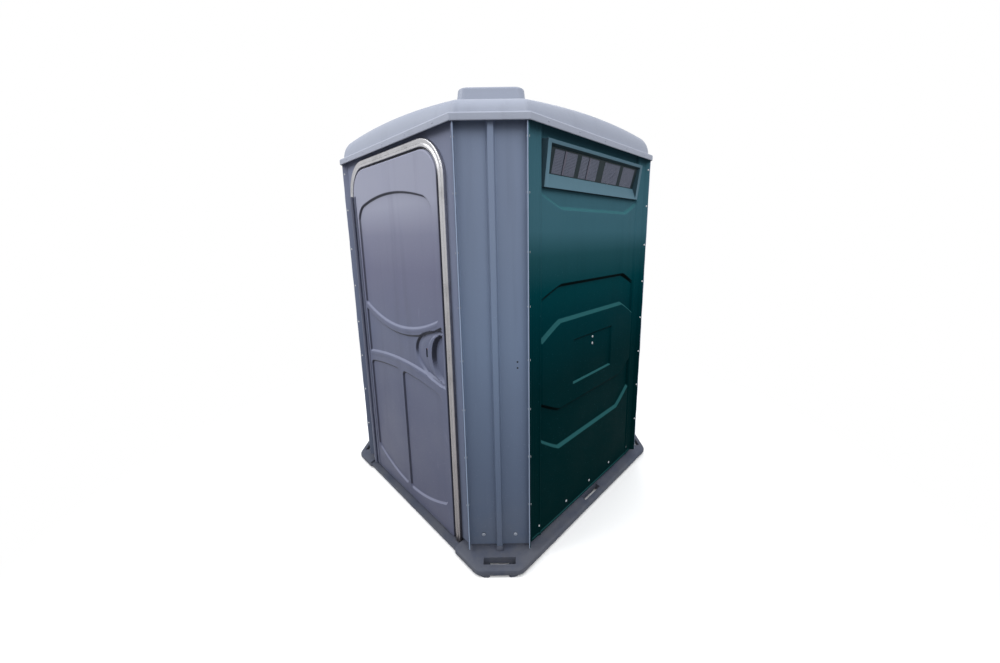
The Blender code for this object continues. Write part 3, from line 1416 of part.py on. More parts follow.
def make_roof():
    """One moulded shell: brim, ledge, dome and a raised hood, with a boss for the vent pipe."""
    cut = BRIM_CUT
    outer = [
        brim_loop(BRIM_HALF, cut, BRIM_FOOT), brim_loop(BRIM_HALF, cut, LEDGE_HEIGHT - BRIM_BEVEL),
        brim_loop(BRIM_HALF - BRIM_BEVEL, cut, LEDGE_HEIGHT),
    ] + dome_loops(0.0)
    roof = put("roof", loft(outer), ROOF_COLOUR, 0.5)
    combine(roof, tool("hood_tool", loft(hood_loops(0.0, HOOD_ROOT))), 'UNION')
    pipe = pipe_place().to_2d()
    boss = prism(ellipse(PIPE_BOSS_RADIUS, PIPE_BOSS_RADIUS, PIPE_SIDES, pipe), PIPE_BOSS_ROOT, PIPE_BOSS_TOP)
    combine(roof, tool("pipe_boss_tool", boss), 'UNION')
    wall = ROOF_SHEET
    inner = [
        brim_loop(BRIM_HALF - wall, cut, BRIM_FOOT - OVERRUN),
        brim_loop(BRIM_HALF - wall, cut, LEDGE_HEIGHT - wall),
    ] + dome_loops(wall)
    combine(roof, tool("dome_cavity_tool", loft(inner)), 'DIFFERENCE')
    combine(roof, tool("hood_cavity_tool", loft(hood_loops(wall, HOOD_ROOT - OVERRUN))), 'DIFFERENCE')
    hole = PIPE_RADIUS + PIPE_HOLE_CLEARANCE
    bore = prism(ellipse(hole, hole, PIPE_SIDES, pipe), BRIM_FOOT, PIPE_BOSS_TOP + OVERRUN)
    combine(roof, tool("pipe_hole_tool", bore), 'DIFFERENCE')
    return roof


# Tank and seat

def tank_plan(draw_in, toe):
    """Plan of the tank: square front, its back corner cut like the cabin's."""
    left = -(HALF_WIDTH - SHEET - TANK_LEFT_GAP) + draw_in
    back = HALF_WIDTH - SHEET - TANK_BACK_GAP - draw_in
    right, front = TANK_RIGHT - draw_in, TANK_FRONT + toe + draw_in
    reach = (corner_reach() - SHEET - TANK_CORNER_GAP - draw_in) * ROOT2
    points = [Vector((left, front)), Vector((right, front)), Vector((right, back)),
              Vector((back - reach, back)), Vector((left, reach + left))]
    return fillet(points, TANK_RADIUS - draw_in, TANK_RADIUS_STEPS)


def tank_loops(wall, low, high):
    """Loops of the tank from its toe to its deck."""
    return [
        level_loop(tank_plan(wall, TANK_TOE), low), level_loop(tank_plan(wall, TANK_TOE), low + SINK),
        level_loop(tank_plan(wall, 0.0), TANK_TOE_HEIGHT + FLOOR_HEIGHT),
        level_loop(tank_plan(wall, 0.0), high - TANK_ROUND),
        level_loop(tank_plan(wall + TANK_ROUND, 0.0), high),
    ]


def make_tank():
    """Holding tank: hollow, with a toe recess, a bowl opening and the vent pipe's opening."""
    floor = FLOOR_HEIGHT + FIT_GAP
    tank = put("holding_tank", loft(tank_loops(0.0, floor, TANK_HEIGHT)), TANK_COLOUR, 0.55)
    cavity = loft(tank_loops(TANK_WALL, floor + TANK_WALL, TANK_HEIGHT - TANK_WALL))
    combine(tank, tool("tank_cavity_tool", cavity), 'DIFFERENCE')
    low, high = TANK_HEIGHT - TANK_WALL - OVERRUN, TANK_HEIGHT + OVERRUN
    bowl = ellipse(BOWL_HALF_WIDTH, BOWL_HALF_LENGTH, BOWL_SIDES, Vector((TANK_MIDDLE_X, BOWL_MIDDLE_Y)))
    form = prism(bowl, low, high)
    hole = PIPE_RADIUS - PIPE_WALL
    prism(ellipse(hole, hole, PIPE_SIDES, pipe_place().to_2d()), low, high, form=form)
    combine(tank, tool("tank_opening_tool", form), 'DIFFERENCE')
    return tank


def make_seat_ring():
    """Open-front seat ring with bumpers and two hinge ears."""
    low = TANK_HEIGHT + FIT_GAP + BUMPER_HEIGHT
    centre = Vector((TANK_MIDDLE_X, BOWL_MIDDLE_Y))
    heights = [low, low + SEAT_THICKNESS / 2, low + SEAT_THICKNESS]
    draws = [0.0, 0.0, SEAT_EDGE]
    form = bmesh.new()
    outer, inner = [], []
    for height, draw in zip(heights, draws):
        around = ellipse(SEAT_HALF_WIDTH - draw, SEAT_HALF_LENGTH - draw, SEAT_SIDES, centre)
        within = ellipse(SEAT_HOLE_HALF_WIDTH + draw, SEAT_HOLE_HALF_LENGTH + draw, SEAT_SIDES, centre)
        outer.append(ring(form, around, height))
        inner.append(ring(form, within, height))
    for shell in (outer, inner):
        for lower, upper in zip(shell, shell[1:]):
            bridge(form, lower, upper)
    bridge(form, outer[0], inner[0])
    bridge(form, outer[-1], inner[-1])
    seat = put("seat_ring", form, SEAT_COLOUR, 0.35, smooth=True)
    axis_z = seat_hinge_height()
    ears = bmesh.new()
    for sign in (-1, 1):
        middle = TANK_MIDDLE_X + sign * SEAT_EAR_OFFSET
        left, right = middle - SEAT_EAR_WIDTH / 2, middle + SEAT_EAR_WIDTH / 2
        near = BOWL_MIDDLE_Y + SEAT_HALF_LENGTH * SEAT_EAR_SHARE
        block((left, near, low + FIT_GAP), (right, SEAT_HINGE_Y, low + SEAT_EAR_THICKNESS), form=ears)
    combine(seat, tool("seat_ear_tool", ears), 'UNION')
    lugs = bmesh.new()
    frame = crosswise_frame()
    bore = SEAT_PIN_RADIUS + HINGE_BORE_CLEARANCE
    place = Vector((SEAT_HINGE_Y, axis_z))
    for sign in (-1, 1):
        middle = TANK_MIDDLE_X + sign * SEAT_EAR_OFFSET
        prism(ellipse(SEAT_HINGE_RADIUS, SEAT_HINGE_RADIUS, ROUND_SIDES, place), middle - SEAT_EAR_WIDTH / 2,
              middle + SEAT_EAR_WIDTH / 2, form=lugs)
    combine(seat, tool("seat_lug_tool", lugs, frame), 'UNION')
    bores = prism(ellipse(bore, bore, ROUND_SIDES, place), TANK_MIDDLE_X - SEAT_HALF_WIDTH,
                  TANK_MIDDLE_X + SEAT_HALF_WIDTH)
    combine(seat, tool("seat_bore_tool", bores, frame), 'DIFFERENCE')
    half_open = SEAT_OPEN_WIDTH / 2
    gap = block((TANK_MIDDLE_X - half_open, BOWL_MIDDLE_Y - SEAT_HALF_LENGTH - OVERRUN, low - OVERRUN),
                (TANK_MIDDLE_X + half_open, BOWL_MIDDLE_Y - SEAT_HOLE_HALF_LENGTH * SEAT_GAP_SHARE,
                 low + SEAT_THICKNESS + OVERRUN))
    combine(seat, tool("seat_gap_tool", gap), 'DIFFERENCE')
    combine(seat, make_seat_bumpers(low), 'UNION')
    return seat


def make_seat_bumpers(low):
    """Four feet under the ring that rest on the tank."""
    form = bmesh.new()
    for across in (-1, 1):
        for along in (-1, 1):
            angle = math.atan2(along, across)
            spot = Vector((TANK_MIDDLE_X + math.cos(angle) * (SEAT_HALF_WIDTH + SEAT_HOLE_HALF_WIDTH) / 2,
                           BOWL_MIDDLE_Y + math.sin(angle) * (SEAT_HALF_LENGTH + SEAT_HOLE_HALF_LENGTH) / 2))
            prism(ellipse(BUMPER_RADIUS, BUMPER_RADIUS, ROUND_SIDES, spot), TANK_HEIGHT + FIT_GAP, low + SINK,
                  form=form)
    return tool("seat_bumper_tool", form)


def make_seat_mount():
    """Hinge posts on the tank with the pin through them."""
    axis_z = seat_hinge_height()
    frame = crosswise_frame()
    place = Vector((SEAT_HINGE_Y, axis_z))
    edge = SEAT_EAR_OFFSET + SEAT_EAR_WIDTH / 2 + SEAT_POST_GAP
    outer = edge + SEAT_POST_WIDTH
    post = bmesh.new()
    profile = [Vector((SEAT_HINGE_Y - SEAT_POST_BASE / 2, TANK_HEIGHT + FIT_GAP)),
               Vector((SEAT_HINGE_Y + SEAT_POST_BASE / 2, TANK_HEIGHT + FIT_GAP))]
    profile += ellipse(SEAT_HINGE_RADIUS, SEAT_HINGE_RADIUS, 6, place, 0.0, math.pi)
    for sign in (-1, 1):
        ends = sorted((TANK_MIDDLE_X + sign * edge, TANK_MIDDLE_X + sign * outer))
        prism(profile, ends[0], ends[1], form=post)
    mount = put("seat_hinge_mount", post, STEEL_COLOUR, 0.4, 0.8, frame=frame)
    pin = prism(ellipse(SEAT_PIN_RADIUS, SEAT_PIN_RADIUS, ROUND_SIDES, place),
                TANK_MIDDLE_X - outer + SINK, TANK_MIDDLE_X + outer - SINK)
    combine(mount, tool("seat_pin_tool", pin, frame), 'UNION')
    return mount


# Vent pipe

def make_vent_pipes():
    """Two lengths of pipe from the tank's deck through the roof's boss, meeting in the clamp."""
    place = pipe_place().to_2d()
    outer, bore = [ellipse(size, size, PIPE_SIDES, place) for size in (PIPE_RADIUS, PIPE_RADIUS - PIPE_WALL)]
    joint = CLAMP_HEIGHT + CLAMP_THICKNESS / 2
    lower = prism(outer, TANK_HEIGHT + FIT_GAP, joint - FIT_GAP / 2, [bore])
    upper = prism(outer, joint + FIT_GAP / 2, PIPE_TOP, [bore])
    return [put("vent_pipe_lower", lower, PIPE_COLOUR, 0.5, smooth=True),
            put("vent_pipe_upper", upper, PIPE_COLOUR, 0.5, smooth=True)]


def make_pipe_clamp():
    """Bracket from the corner panel round the pipe."""
    out = corner_reach() - SHEET - FIT_GAP
    diagonal = math.pi * 3 / 4
    frame = Matrix.Rotation(diagonal, 4, 'Z')
    centre = Vector((pipe_reach(), 0.0))
    bore, outer = [ellipse(size, size, PIPE_SIDES, centre, start=-diagonal)
                   for size in (PIPE_RADIUS + FIT_GAP, PIPE_RADIUS + FIT_GAP + CLAMP_WALL)]
    top = CLAMP_HEIGHT + CLAMP_THICKNESS
    clamp = put("pipe_clamp", prism(outer, CLAMP_HEIGHT, top, [bore]), STEEL_COLOUR, 0.4, 0.8, frame=frame)
    reach = pipe_reach() + PIPE_RADIUS + CLAMP_WALL / 2
    arm = block((reach, -CLAMP_ARM / 2, CLAMP_HEIGHT), (out - CLAMP_WALL / 2, CLAMP_ARM / 2, top))
    combine(clamp, tool("clamp_arm_tool", arm, frame), 'UNION')
    foot = block((out - CLAMP_WALL, -CLAMP_FOOT_HALF, CLAMP_HEIGHT), (out, CLAMP_FOOT_HALF, top))
    combine(clamp, tool("clamp_foot_tool", foot, frame), 'UNION')
    return clamp


# Fittings on the walls

def make_grab_bars():
    """One bar on the side wall and one on the back wall, on the panels' flat borders."""
    bars = []
    for name, quarter in (("grab_bar_side", LEFT), ("grab_bar_rear", BACK)):
        inside = side_frame(quarter, Vector((0, BAR_HEIGHT, HALF_WIDTH - SHEET - FIT_GAP)))
        turned = inside @ Matrix.Rotation(math.pi, 4, 'Y')
        bars.append(bar_handle(name, turned, BAR_HALF_LENGTH, BAR_STAND, BAR_BEND, BAR_RADIUS, BAR_SIDES,
                               FLANGE_RADIUS, FLANGE_THICKNESS, upright=False))
    return bars


def holder_wall():
    """Inner face of the side wall behind the paper holder, in the sunk band."""
    return HALF_WIDTH - FIELD_SINK - SHEET - FIT_GAP


def make_paper_holder():
    """Plate with two arms and the roller between them."""
    frame = side_frame(LEFT, Vector((-HOLDER_MIDDLE_Y, relief_height(HOLDER_SHARE), holder_wall())))
    frame = frame @ Matrix.Rotation(math.pi, 4, 'Y')
    half, tall = HOLDER_HALF_LENGTH, HOLDER_HALF_HEIGHT
    plate = block((-half, -tall, 0.0), (half, tall, HOLDER_PLATE))
    holder = put("paper_holder", plate, STEEL_COLOUR, 0.4, 0.8, frame)
    arms = bmesh.new()
    for sign in (-1, 1):
        ends = sorted((sign * half, sign * (half - HOLDER_ARM)))
        block((ends[0], -tall, HOLDER_PLATE / 2), (ends[1], tall * HOLDER_ARM_SHARE, HOLDER_REACH), form=arms)
    combine(holder, tool("holder_arm_tool", arms, frame), 'UNION')
    lift = Matrix.Translation(Vector((0, 0, HOLDER_STAND)))
    rod_frame = frame @ lift @ Matrix.Rotation(math.pi / 2, 4, 'Y')
    rod_half = half - HOLDER_ARM / 2
    rod = round_form(ROLLER_RADIUS, -rod_half, rod_half, Vector((0, 0)), sides=ROLL_SIDES)
    combine(holder, tool("holder_roller_tool", rod, rod_frame), 'UNION')
    rolls = []
    for letter, sign in (("a", -1), ("b", 1)):
        middle = Matrix.Translation(Vector((0, 0, sign * (ROLL_LENGTH + ROLL_GAP) / 2)))
        rolls.append(make_roll("paper_roll_" + letter, rod_frame @ middle))
    return holder, rolls


def make_roll(name, frame):
    """A paper roll about its own axis."""
    bore = ellipse(ROLL_BORE_RADIUS, ROLL_BORE_RADIUS, ROLL_SIDES)
    half = ROLL_LENGTH / 2
    form = bmesh.new()
    wide = ellipse(ROLL_RADIUS, ROLL_RADIUS, ROLL_SIDES)
    narrow = ellipse(ROLL_RADIUS - ROLL_EDGE, ROLL_RADIUS - ROLL_EDGE, ROLL_SIDES)
    loops = [ring(form, bore, -half), ring(form, narrow, -half), ring(form, wide, -half + ROLL_EDGE),
             ring(form, wide, half - ROLL_EDGE), ring(form, narrow, half), ring(form, bore, half)]
    for lower, upper in zip(loops, loops[1:] + loops[:1]):
        bridge(form, lower, upper)
    return put(name, form, PAPER_COLOUR, 0.9, frame=frame, smooth=True)


def make_coat_hook():
    """Hook on the inside of the side wall's sunk plate."""
    behind = HALF_WIDTH - PLATE_SINK - SHEET - FIT_GAP
    frame = side_frame(RIGHT, Vector((0, relief_height(HOOK_SHARE), behind)))
    frame = frame @ Matrix.Rotation(math.pi, 4, 'Y')
    plate = block((-HOOK_PLATE_HALF, -HOOK_PLATE_HALF_HEIGHT, 0.0),
                  (HOOK_PLATE_HALF, HOOK_PLATE_HALF_HEIGHT, HOOK_PLATE))
    hook = put("coat_hook", plate, STEEL_COLOUR, 0.3, 0.9, frame)
    start, corner = Vector((0, -HOOK_RISE / 2, HOOK_PLATE / 2)), Vector((0, -HOOK_RISE / 2, HOOK_REACH))
    end = Vector((0, HOOK_RISE / 2, HOOK_REACH))
    path = [start] + bent_path(start, corner, end, HOOK_REACH / 3, BAR_BEND_STEPS) + [end]
    combine(hook, tool("hook_rod_tool", turned_along(path, HOOK_RADIUS, ROUND_SIDES), frame), 'UNION')
    return hook


# Screws

def make_foot_screws():
    """Two domed screw heads at the foot of each corner panel, standing on its face."""
    form = bmesh.new()
    narrow = SCREW_RADIUS * SCREW_CROWN_SHARE
    loft([level_loop(ellipse(SCREW_RADIUS, SCREW_RADIUS, SCREW_SIDES), 0.0),
          level_loop(ellipse(SCREW_RADIUS, SCREW_RADIUS, SCREW_SIDES), SCREW_HEIGHT / 2),
          level_loop(ellipse(narrow, narrow, SCREW_SIDES), SCREW_HEIGHT)], form)
    places = [(quarter, sign) for quarter in range(4) for sign in (-1, 1)]
    screws = []
    for index, (quarter, sign) in enumerate(places):
        spot = Vector((sign * SCREW_SPREAD, SCREW_ABOVE_GROUND, corner_reach() + FIT_GAP))
        frame = corner_frame(quarter) @ Matrix.Translation(spot)
        name = "corner_foot_screw_" + str(index + 1)
        screws.append(repeat(name, screws[0], frame, STEEL_COLOUR, 0.4, 0.8) if screws else
                      put(name, form, STEEL_COLOUR, 0.4, 0.8, frame, smooth=True))
    return screws


def make_door():
    """The leaf with everything that swings with it, and the latch that turns in it."""
    skins = make_door_skins()
    frame_half, leaf_plate, pin = make_hinge()
    turning, backing, _ = make_latch()
    pull = make_inner_pull()
    swing = pivot("door_hinge_axis", Vector((hinge_axis_x(), hinge_axis_y(), 0.0)))
    hang(skins + [leaf_plate, backing, pull], swing)
    hang(turning, pivot("latch_axis", latch_place()))
    return frame_half, pin


def main():
    """Build every piece of the cabin."""
    clear_scene()
    make_base()
    make_wall_panels()
    make_vent_frames()
    make_vent_screens()
    make_corner_panels()
    make_front_frame()
    make_jamb_trim()
    make_door()
    make_roof()
    make_tank()
    seat_axis = pivot("seat_hinge_axis", Vector((TANK_MIDDLE_X, SEAT_HINGE_Y, seat_hinge_height())))
    hang([make_seat_ring()], seat_axis)
    make_seat_mount()
    make_vent_pipes()
    make_pipe_clamp()
    make_grab_bars()
    make_paper_holder()
    make_coat_hook()
    make_foot_screws()


main()
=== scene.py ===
"""Accessible portable toilet: the dressed cabin, its finishes, the light and the camera.

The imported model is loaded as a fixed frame.  The moulded sheets, the roof, the vents, the door's
outer skin and the metal trim are built again here with their soft relief; the other nodes keep
their shape and get their finish.  Metres, +Z up, the doorway looks along -Y.
"""

import logging
import math
from dataclasses import dataclass, field
from enum import Enum
from typing import Callable, Iterable, Optional, Sequence, Union

import bmesh
import bpy
from mathutils import Matrix, Vector
from mathutils.bvhtree import BVHTree


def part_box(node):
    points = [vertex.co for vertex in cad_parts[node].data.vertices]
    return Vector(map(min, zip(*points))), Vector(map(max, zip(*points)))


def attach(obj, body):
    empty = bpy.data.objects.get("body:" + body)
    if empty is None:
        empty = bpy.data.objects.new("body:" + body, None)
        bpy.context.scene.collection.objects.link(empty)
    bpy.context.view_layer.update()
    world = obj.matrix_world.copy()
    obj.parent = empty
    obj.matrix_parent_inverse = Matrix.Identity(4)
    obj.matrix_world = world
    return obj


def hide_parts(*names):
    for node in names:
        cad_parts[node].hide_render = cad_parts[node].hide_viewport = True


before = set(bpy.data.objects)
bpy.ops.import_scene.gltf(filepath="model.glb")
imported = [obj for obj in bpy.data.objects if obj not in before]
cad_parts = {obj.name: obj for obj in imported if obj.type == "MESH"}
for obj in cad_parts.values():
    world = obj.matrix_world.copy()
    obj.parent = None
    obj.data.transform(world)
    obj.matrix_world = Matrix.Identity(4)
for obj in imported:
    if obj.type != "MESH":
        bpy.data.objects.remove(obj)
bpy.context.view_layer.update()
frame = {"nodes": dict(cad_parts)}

LOG = logging.getLogger("cabin")

Colour = tuple[float, float, float]
Span = tuple[float, float]
Box = tuple[float, float, float, float]
Place = Callable[[float, float], Vector]
Form = bmesh.types.BMesh
Socket = bpy.types.NodeSocket
Paint = Union[Socket, Colour]

# Height at which the colour marks of the moulded finishes end.
FINISH_TOP = 2.30
# Points and stations nearer to each other than this are one.
MERGE_GAP = 0.00005
STATION_GAP = 0.0004


class Side(Enum):
    """The four sides of the cabin, in quarter turns from +X."""

    RIGHT = 0
    BACK = 1
    LEFT = 2
    FRONT = 3


class Corner(Enum):
    """The four cut corners, in quarter turns from the one between +X and +Y."""

    BACK_RIGHT = 0
    BACK_LEFT = 1
    FRONT_LEFT = 2
    FRONT_RIGHT = 3


class Body(Enum):
    """The bodies that the new pieces ride on."""

    CABIN = "cabin"
    DOOR = "door"


class Slot(Enum):
    """The record's material slots named for the new pieces, passed along but not set on them."""

    WALL = "wall_green"
    VENT = "vent_green"
    SCREEN = "screen_grey"
    CABIN = "cabin_grey"
    JAMB = "jamb_metal"
    DOOR = "door_grey"
    HINGE = "hinge_metal"
    ROOF = "roof_grey"
    SCREW = "screw_steel"


# Finishes


class Bench:
    """A material on the bench: its node tree, with short calls that add and join nodes."""

    def __init__(self, name: str) -> None:
        """Start a material with one shader.

        Args:
            name: The material's name.
        """
        self.made = bpy.data.materials.new(name)
        self.made.use_nodes = True
        self.tree = self.made.node_tree
        self.tree.nodes.clear()
        self.output = self.add("ShaderNodeOutputMaterial")
        self.shader = self.add("ShaderNodeBsdfPrincipled")
        self.join(self.shader.outputs["BSDF"], self.output.inputs["Surface"])
        self.where = self.add("ShaderNodeTexCoord").outputs["Object"]

    def add(self, kind: str, **settings: object) -> bpy.types.Node:
        """Add a node.

        Args:
            kind: The node's type.
            **settings: Its properties by name.

        Returns:
            The new node.
        """
        node = self.tree.nodes.new(kind)
        for key, value in settings.items():
            setattr(node, key, value)
        return node

    def join(self, source: Socket, target: Socket) -> None:
        """Join an output to an input."""
        self.tree.links.new(source, target)

    def feed(self, node: bpy.types.Node, **inputs: object) -> None:
        """Set a node's inputs.

        Args:
            node: The node.
            **inputs: Numbers, colours or sockets by input name, a low line for each space.
        """
        for key, value in inputs.items():
            socket = node.inputs[key.replace("_", " ")]
            if isinstance(value, Socket):
                self.join(value, socket)
            else:
                socket.default_value = value

    def noise(self, scale: float, detail: float = 4.0, rough: float = 0.5,
              stretch: Colour = (1.0, 1.0, 1.0)) -> Socket:
        """A noise over the piece's own coordinates.

        Args:
            scale: Features per metre.
            detail: Octaves.
            rough: Share of the finer octaves.
            stretch: Scale along each axis, for streaks and brushing.

        Returns:
            The noise from 0 to 1.
        """
        mapping = self.add("ShaderNodeMapping")
        self.feed(mapping, Vector=self.where, Scale=stretch)
        node = self.add("ShaderNodeTexNoise")
        self.feed(node, Vector=mapping.outputs["Vector"], Scale=scale, Detail=detail, Roughness=rough)
        return node.outputs["Fac"]

    def height(self) -> Socket:
        """Height above the ground.

        Returns:
            The height in metres.
        """
        parts = self.add("ShaderNodeSeparateXYZ")
        self.join(self.where, parts.inputs["Vector"])
        return parts.outputs["Z"]

    def facing(self, toward: Colour) -> Socket:
        """How far the surface faces a direction of the piece.

        Args:
            toward: The direction.

        Returns:
            A value from -1 to 1.
        """
        place = self.add("ShaderNodeTexCoord")
        product = self.add("ShaderNodeVectorMath", operation="DOT_PRODUCT")
        self.join(place.outputs["Normal"], product.inputs[0])
        product.inputs[1].default_value = toward
        return product.outputs["Value"]

    def span(self, source: Socket, low: float, high: float, first: float = 0.0,
             last: float = 1.0) -> Socket:
        """Map a range to another one, held at its ends.

        Args:
            source: What is mapped.
            low: Start of the source's range.
            high: End of the source's range.
            first: Result at the start.
            last: Result at the end.

        Returns:
            The mapped value.
        """
        node = self.add("ShaderNodeMapRange", interpolation_type="SMOOTHSTEP")
        self.feed(node, Value=source, From_Min=low, From_Max=high, To_Min=first, To_Max=last)
        return node.outputs["Result"]

    def combine(self, operation: str, first: Socket, second: Socket) -> Socket:
        """Combine two values.

        Args:
            operation: How they are combined.
            first: The one value.
            second: The other value.

        Returns:
            The result.
        """
        node = self.add("ShaderNodeMath", operation=operation)
        self.join(first, node.inputs[0])
        self.join(second, node.inputs[1])
        return node.outputs["Value"]

    def blend(self, share: Socket, first: Paint, second: Paint, mode: str = "MIX") -> Socket:
        """Blend two colours.

        Args:
            share: How much of the second colour shows.
            first: A colour socket or a colour.
            second: A colour socket or a colour.
            mode: The blend mode.

        Returns:
            The blended colour.
        """
        node = self.add("ShaderNodeMix", data_type="RGBA", blend_type=mode)
        self.join(share, node.inputs["Factor"])
        for socket, value in ((node.inputs[6], first), (node.inputs[7], second)):
            if isinstance(value, Socket):
                self.join(value, socket)
            else:
                socket.default_value = (*value, 1.0)
        return node.outputs[2]

    def veil(self, under: Paint, source: Socket, span: Span, share: float, over: Paint,
             mode: str = "MIX") -> Socket:
        """Lay a colour over another one where a value is high.

        Args:
            under: The colour below.
            source: The value.
            span: Where the veil starts and where it is full.
            share: How much of it shows where it is full.
            over: The veil's colour.
            mode: The blend mode.

        Returns:
            The colour with its veil.
        """
        return self.blend(self.span(source, *span, 0.0, share), under, over, mode)

    def stops(self, source: Socket, marks: Sequence[tuple[float, Colour]]) -> Socket:
        """A colour that changes with a value.

        Args:
            source: The value, from 0 to 1.
            marks: Places and their colours.

        Returns:
            The colour.
        """
        node = self.add("ShaderNodeValToRGB")
        ramp = node.color_ramp
        while len(ramp.elements) < len(marks):
            ramp.elements.new(1.0)
        for element, (spot, colour) in zip(ramp.elements, marks):
            element.position = spot
            element.color = (*colour, 1.0)
        self.join(source, node.inputs["Fac"])
        return node.outputs["Color"]

    def emboss(self, layers: Iterable[tuple[Socket, float, float]]) -> None:
        """Raise the surface by a chain of height layers.

        Args:
            layers: For each layer its height, its strength and its depth in metres.
        """
        normal: Optional[Socket] = None
        for source, strength, depth in layers:
            node = self.add("ShaderNodeBump")
            self.feed(node, Height=source, Strength=strength, Distance=depth)
            if normal is not None:
                self.join(normal, node.inputs["Normal"])
            normal = node.outputs["Normal"]
        if normal is not None:
            self.join(normal, self.shader.inputs["Normal"])


def shade(colour: Colour, share: float, lift: float = 0.0) -> Colour:
    """A colour made darker or lighter."""
    return tuple(min(1.0, part * share + lift) for part in colour)


@dataclass(frozen=True)
class Moulded:
    """Moulded polyethylene: its colour follows marks by height, which on the wall, vent, cabin, frame and
    door finishes are painted light towards the top and painted shade towards the foot; dusty at the foot,
    faintly grained.
    """

    name: str
    marks: tuple[tuple[float, Colour], ...]
    roughness: float = 0.5
    specular: float = 0.25
    mottle: float = 0.10
    scuffs: float = 0.16
    dust: float = 0.20
    dust_colour: Colour = (0.20, 0.19, 0.17)
    waves: float = 0.18
    # Painted light: a highlight colour on faces turned toward `toward` and where the 'edge' attribute is set,
    # and painted shade on faces turned away.
    painted_highlight: Optional[Colour] = None
    painted_highlight_share: float = 0.0
    shade_share: float = 0.0
    toward: Colour = (0.0, 0.0, 1.0)
    sheen: Colour = (1.0, 1.0, 1.0)

    def material(self) -> bpy.types.Material:
        """Build the finish.

        Returns:
            The material.
        """
        bench = Bench(self.name)
        height = bench.height()
        darkest, lightest = self.marks[0][1], self.marks[-1][1]
        # Colour by height from the marks: painted light towards the top and painted shade towards the foot on
        # the wall, vent, cabin, frame and door finishes.
        colour = bench.stops(bench.span(height, 0.0, FINISH_TOP, 0.0, 1.0), self.marks)
        clouds = bench.noise(2.6, 5.0, 0.6)
        colour = bench.veil(colour, clouds, (0.35, 0.65), self.mottle, (0.55, 0.55, 0.58), "OVERLAY")
        runs = bench.noise(9.0, 5.0, 0.6, (1.0, 1.0, 0.06))
        colour = bench.veil(colour, runs, (0.52, 0.75), self.mottle * 1.3, shade(darkest, 0.2))
        scratch = bench.noise(22.0, 8.0, 0.75, (1.0, 1.0, 0.22))
        colour = bench.veil(colour, scratch, (0.62, 0.72), self.scuffs, shade(lightest, 1.4, 0.01))
        grit = bench.noise(120.0, 3.0, 0.5)
        colour = bench.veil(colour, grit, (0.66, 0.72), 0.12, shade(lightest, 1.5, 0.01))
        # Painted highlight on faces turned toward the light's direction, painted shade on faces turned away
        # from it.
        if self.painted_highlight:
            facing = bench.facing(self.toward)
            colour = bench.veil(colour, facing, (0.08, 0.60), self.painted_highlight_share, self.painted_highlight)
            away = bench.span(facing, -0.50, -0.08, self.shade_share, 0.0)
            colour = bench.blend(away, colour, shade(darkest, 0.12))
            # Painted highlight where the 'edge' attribute is set, on the corner flanges' tips.
            edge = bench.add("ShaderNodeAttribute", attribute_name="edge")
            colour = bench.veil(colour, edge.outputs["Fac"], (0.0, 1.0), 0.8, self.painted_highlight)
        low = bench.combine("MULTIPLY", bench.span(height, 0.03, 0.42, self.dust, 0.0),
                            bench.span(bench.noise(7.0, 6.0, 0.65), 0.35, 0.65, 0.25, 1.0))
        colour = bench.blend(low, colour, self.dust_colour)
        bench.feed(bench.shader, Base_Color=colour, Specular_IOR_Level=self.specular,
                   Specular_Tint=(*self.sheen, 1.0),
                   Roughness=bench.span(clouds, 0.3, 0.7, self.roughness - 0.06, self.roughness + 0.08))
        bench.emboss([(bench.noise(5.0, 2.0), self.waves, 0.010), (bench.noise(34.0, 3.0), 0.10, 0.002),
                      (bench.noise(900.0, 2.0), 0.10, 0.0005)])
        return bench.made


@dataclass(frozen=True)
class Metal:
    """Brushed or rolled metal, with faint streaks along one axis."""

    name: str
    colour: Colour
    roughness: float = 0.3
    stretch: Colour = (1.0, 1.0, 0.03)
    tarnish: float = 0.25
    low_shade_and_dirt: Optional[Colour] = None

    def material(self) -> bpy.types.Material:
        """Build the finish.

        Returns:
            The material.
        """
        bench = Bench(self.name)
        lines = bench.noise(420.0, 4.0, 0.6, self.stretch)
        clouds = bench.noise(11.0, 5.0, 0.6)
        worn = shade(self.colour, 0.55)
        colour = bench.veil(self.colour, clouds, (0.45, 0.75), self.tarnish, worn)
        colour = bench.veil(colour, lines, (0.4, 0.7), 0.22, worn)
        # Darker and warmer towards the bottom: painted shade of the dimmer reflection low down, with dirt at
        # the foot.
        if self.low_shade_and_dirt:
            low = bench.span(bench.height(), 0.2, 1.8, 0.88, 0.0)
            colour = bench.blend(low, colour, self.low_shade_and_dirt)
        bench.feed(bench.shader, Base_Color=colour, Metallic=1.0,
                   Roughness=bench.span(lines, 0.3, 0.7, self.roughness - 0.07, self.roughness + 0.12))
        bench.emboss([(lines, 0.12, 0.0004), (clouds, 0.10, 0.002)])
        return bench.made


@dataclass(frozen=True)
class Fitting:
    """Injection moulded plastic of a fitting, with fine grain and rubbed patches."""

    name: str
    colour: Colour
    roughness: float = 0.35
    specular: float = 0.5

    def material(self) -> bpy.types.Material:
        """Build the finish.

        Returns:
            The material.
        """
        bench = Bench(self.name)
        rubbed = bench.noise(30.0, 6.0, 0.7)
        colour = bench.veil(self.colour, rubbed, (0.5, 0.75), 0.35, shade(self.colour, 1.5, 0.02))
        bench.feed(bench.shader, Base_Color=colour, Specular_IOR_Level=self.specular,
                   Roughness=bench.span(rubbed, 0.35, 0.7, self.roughness - 0.05, self.roughness + 0.12))
        bench.emboss([(bench.noise(700.0, 2.0), 0.08, 0.0004)])
        return bench.made


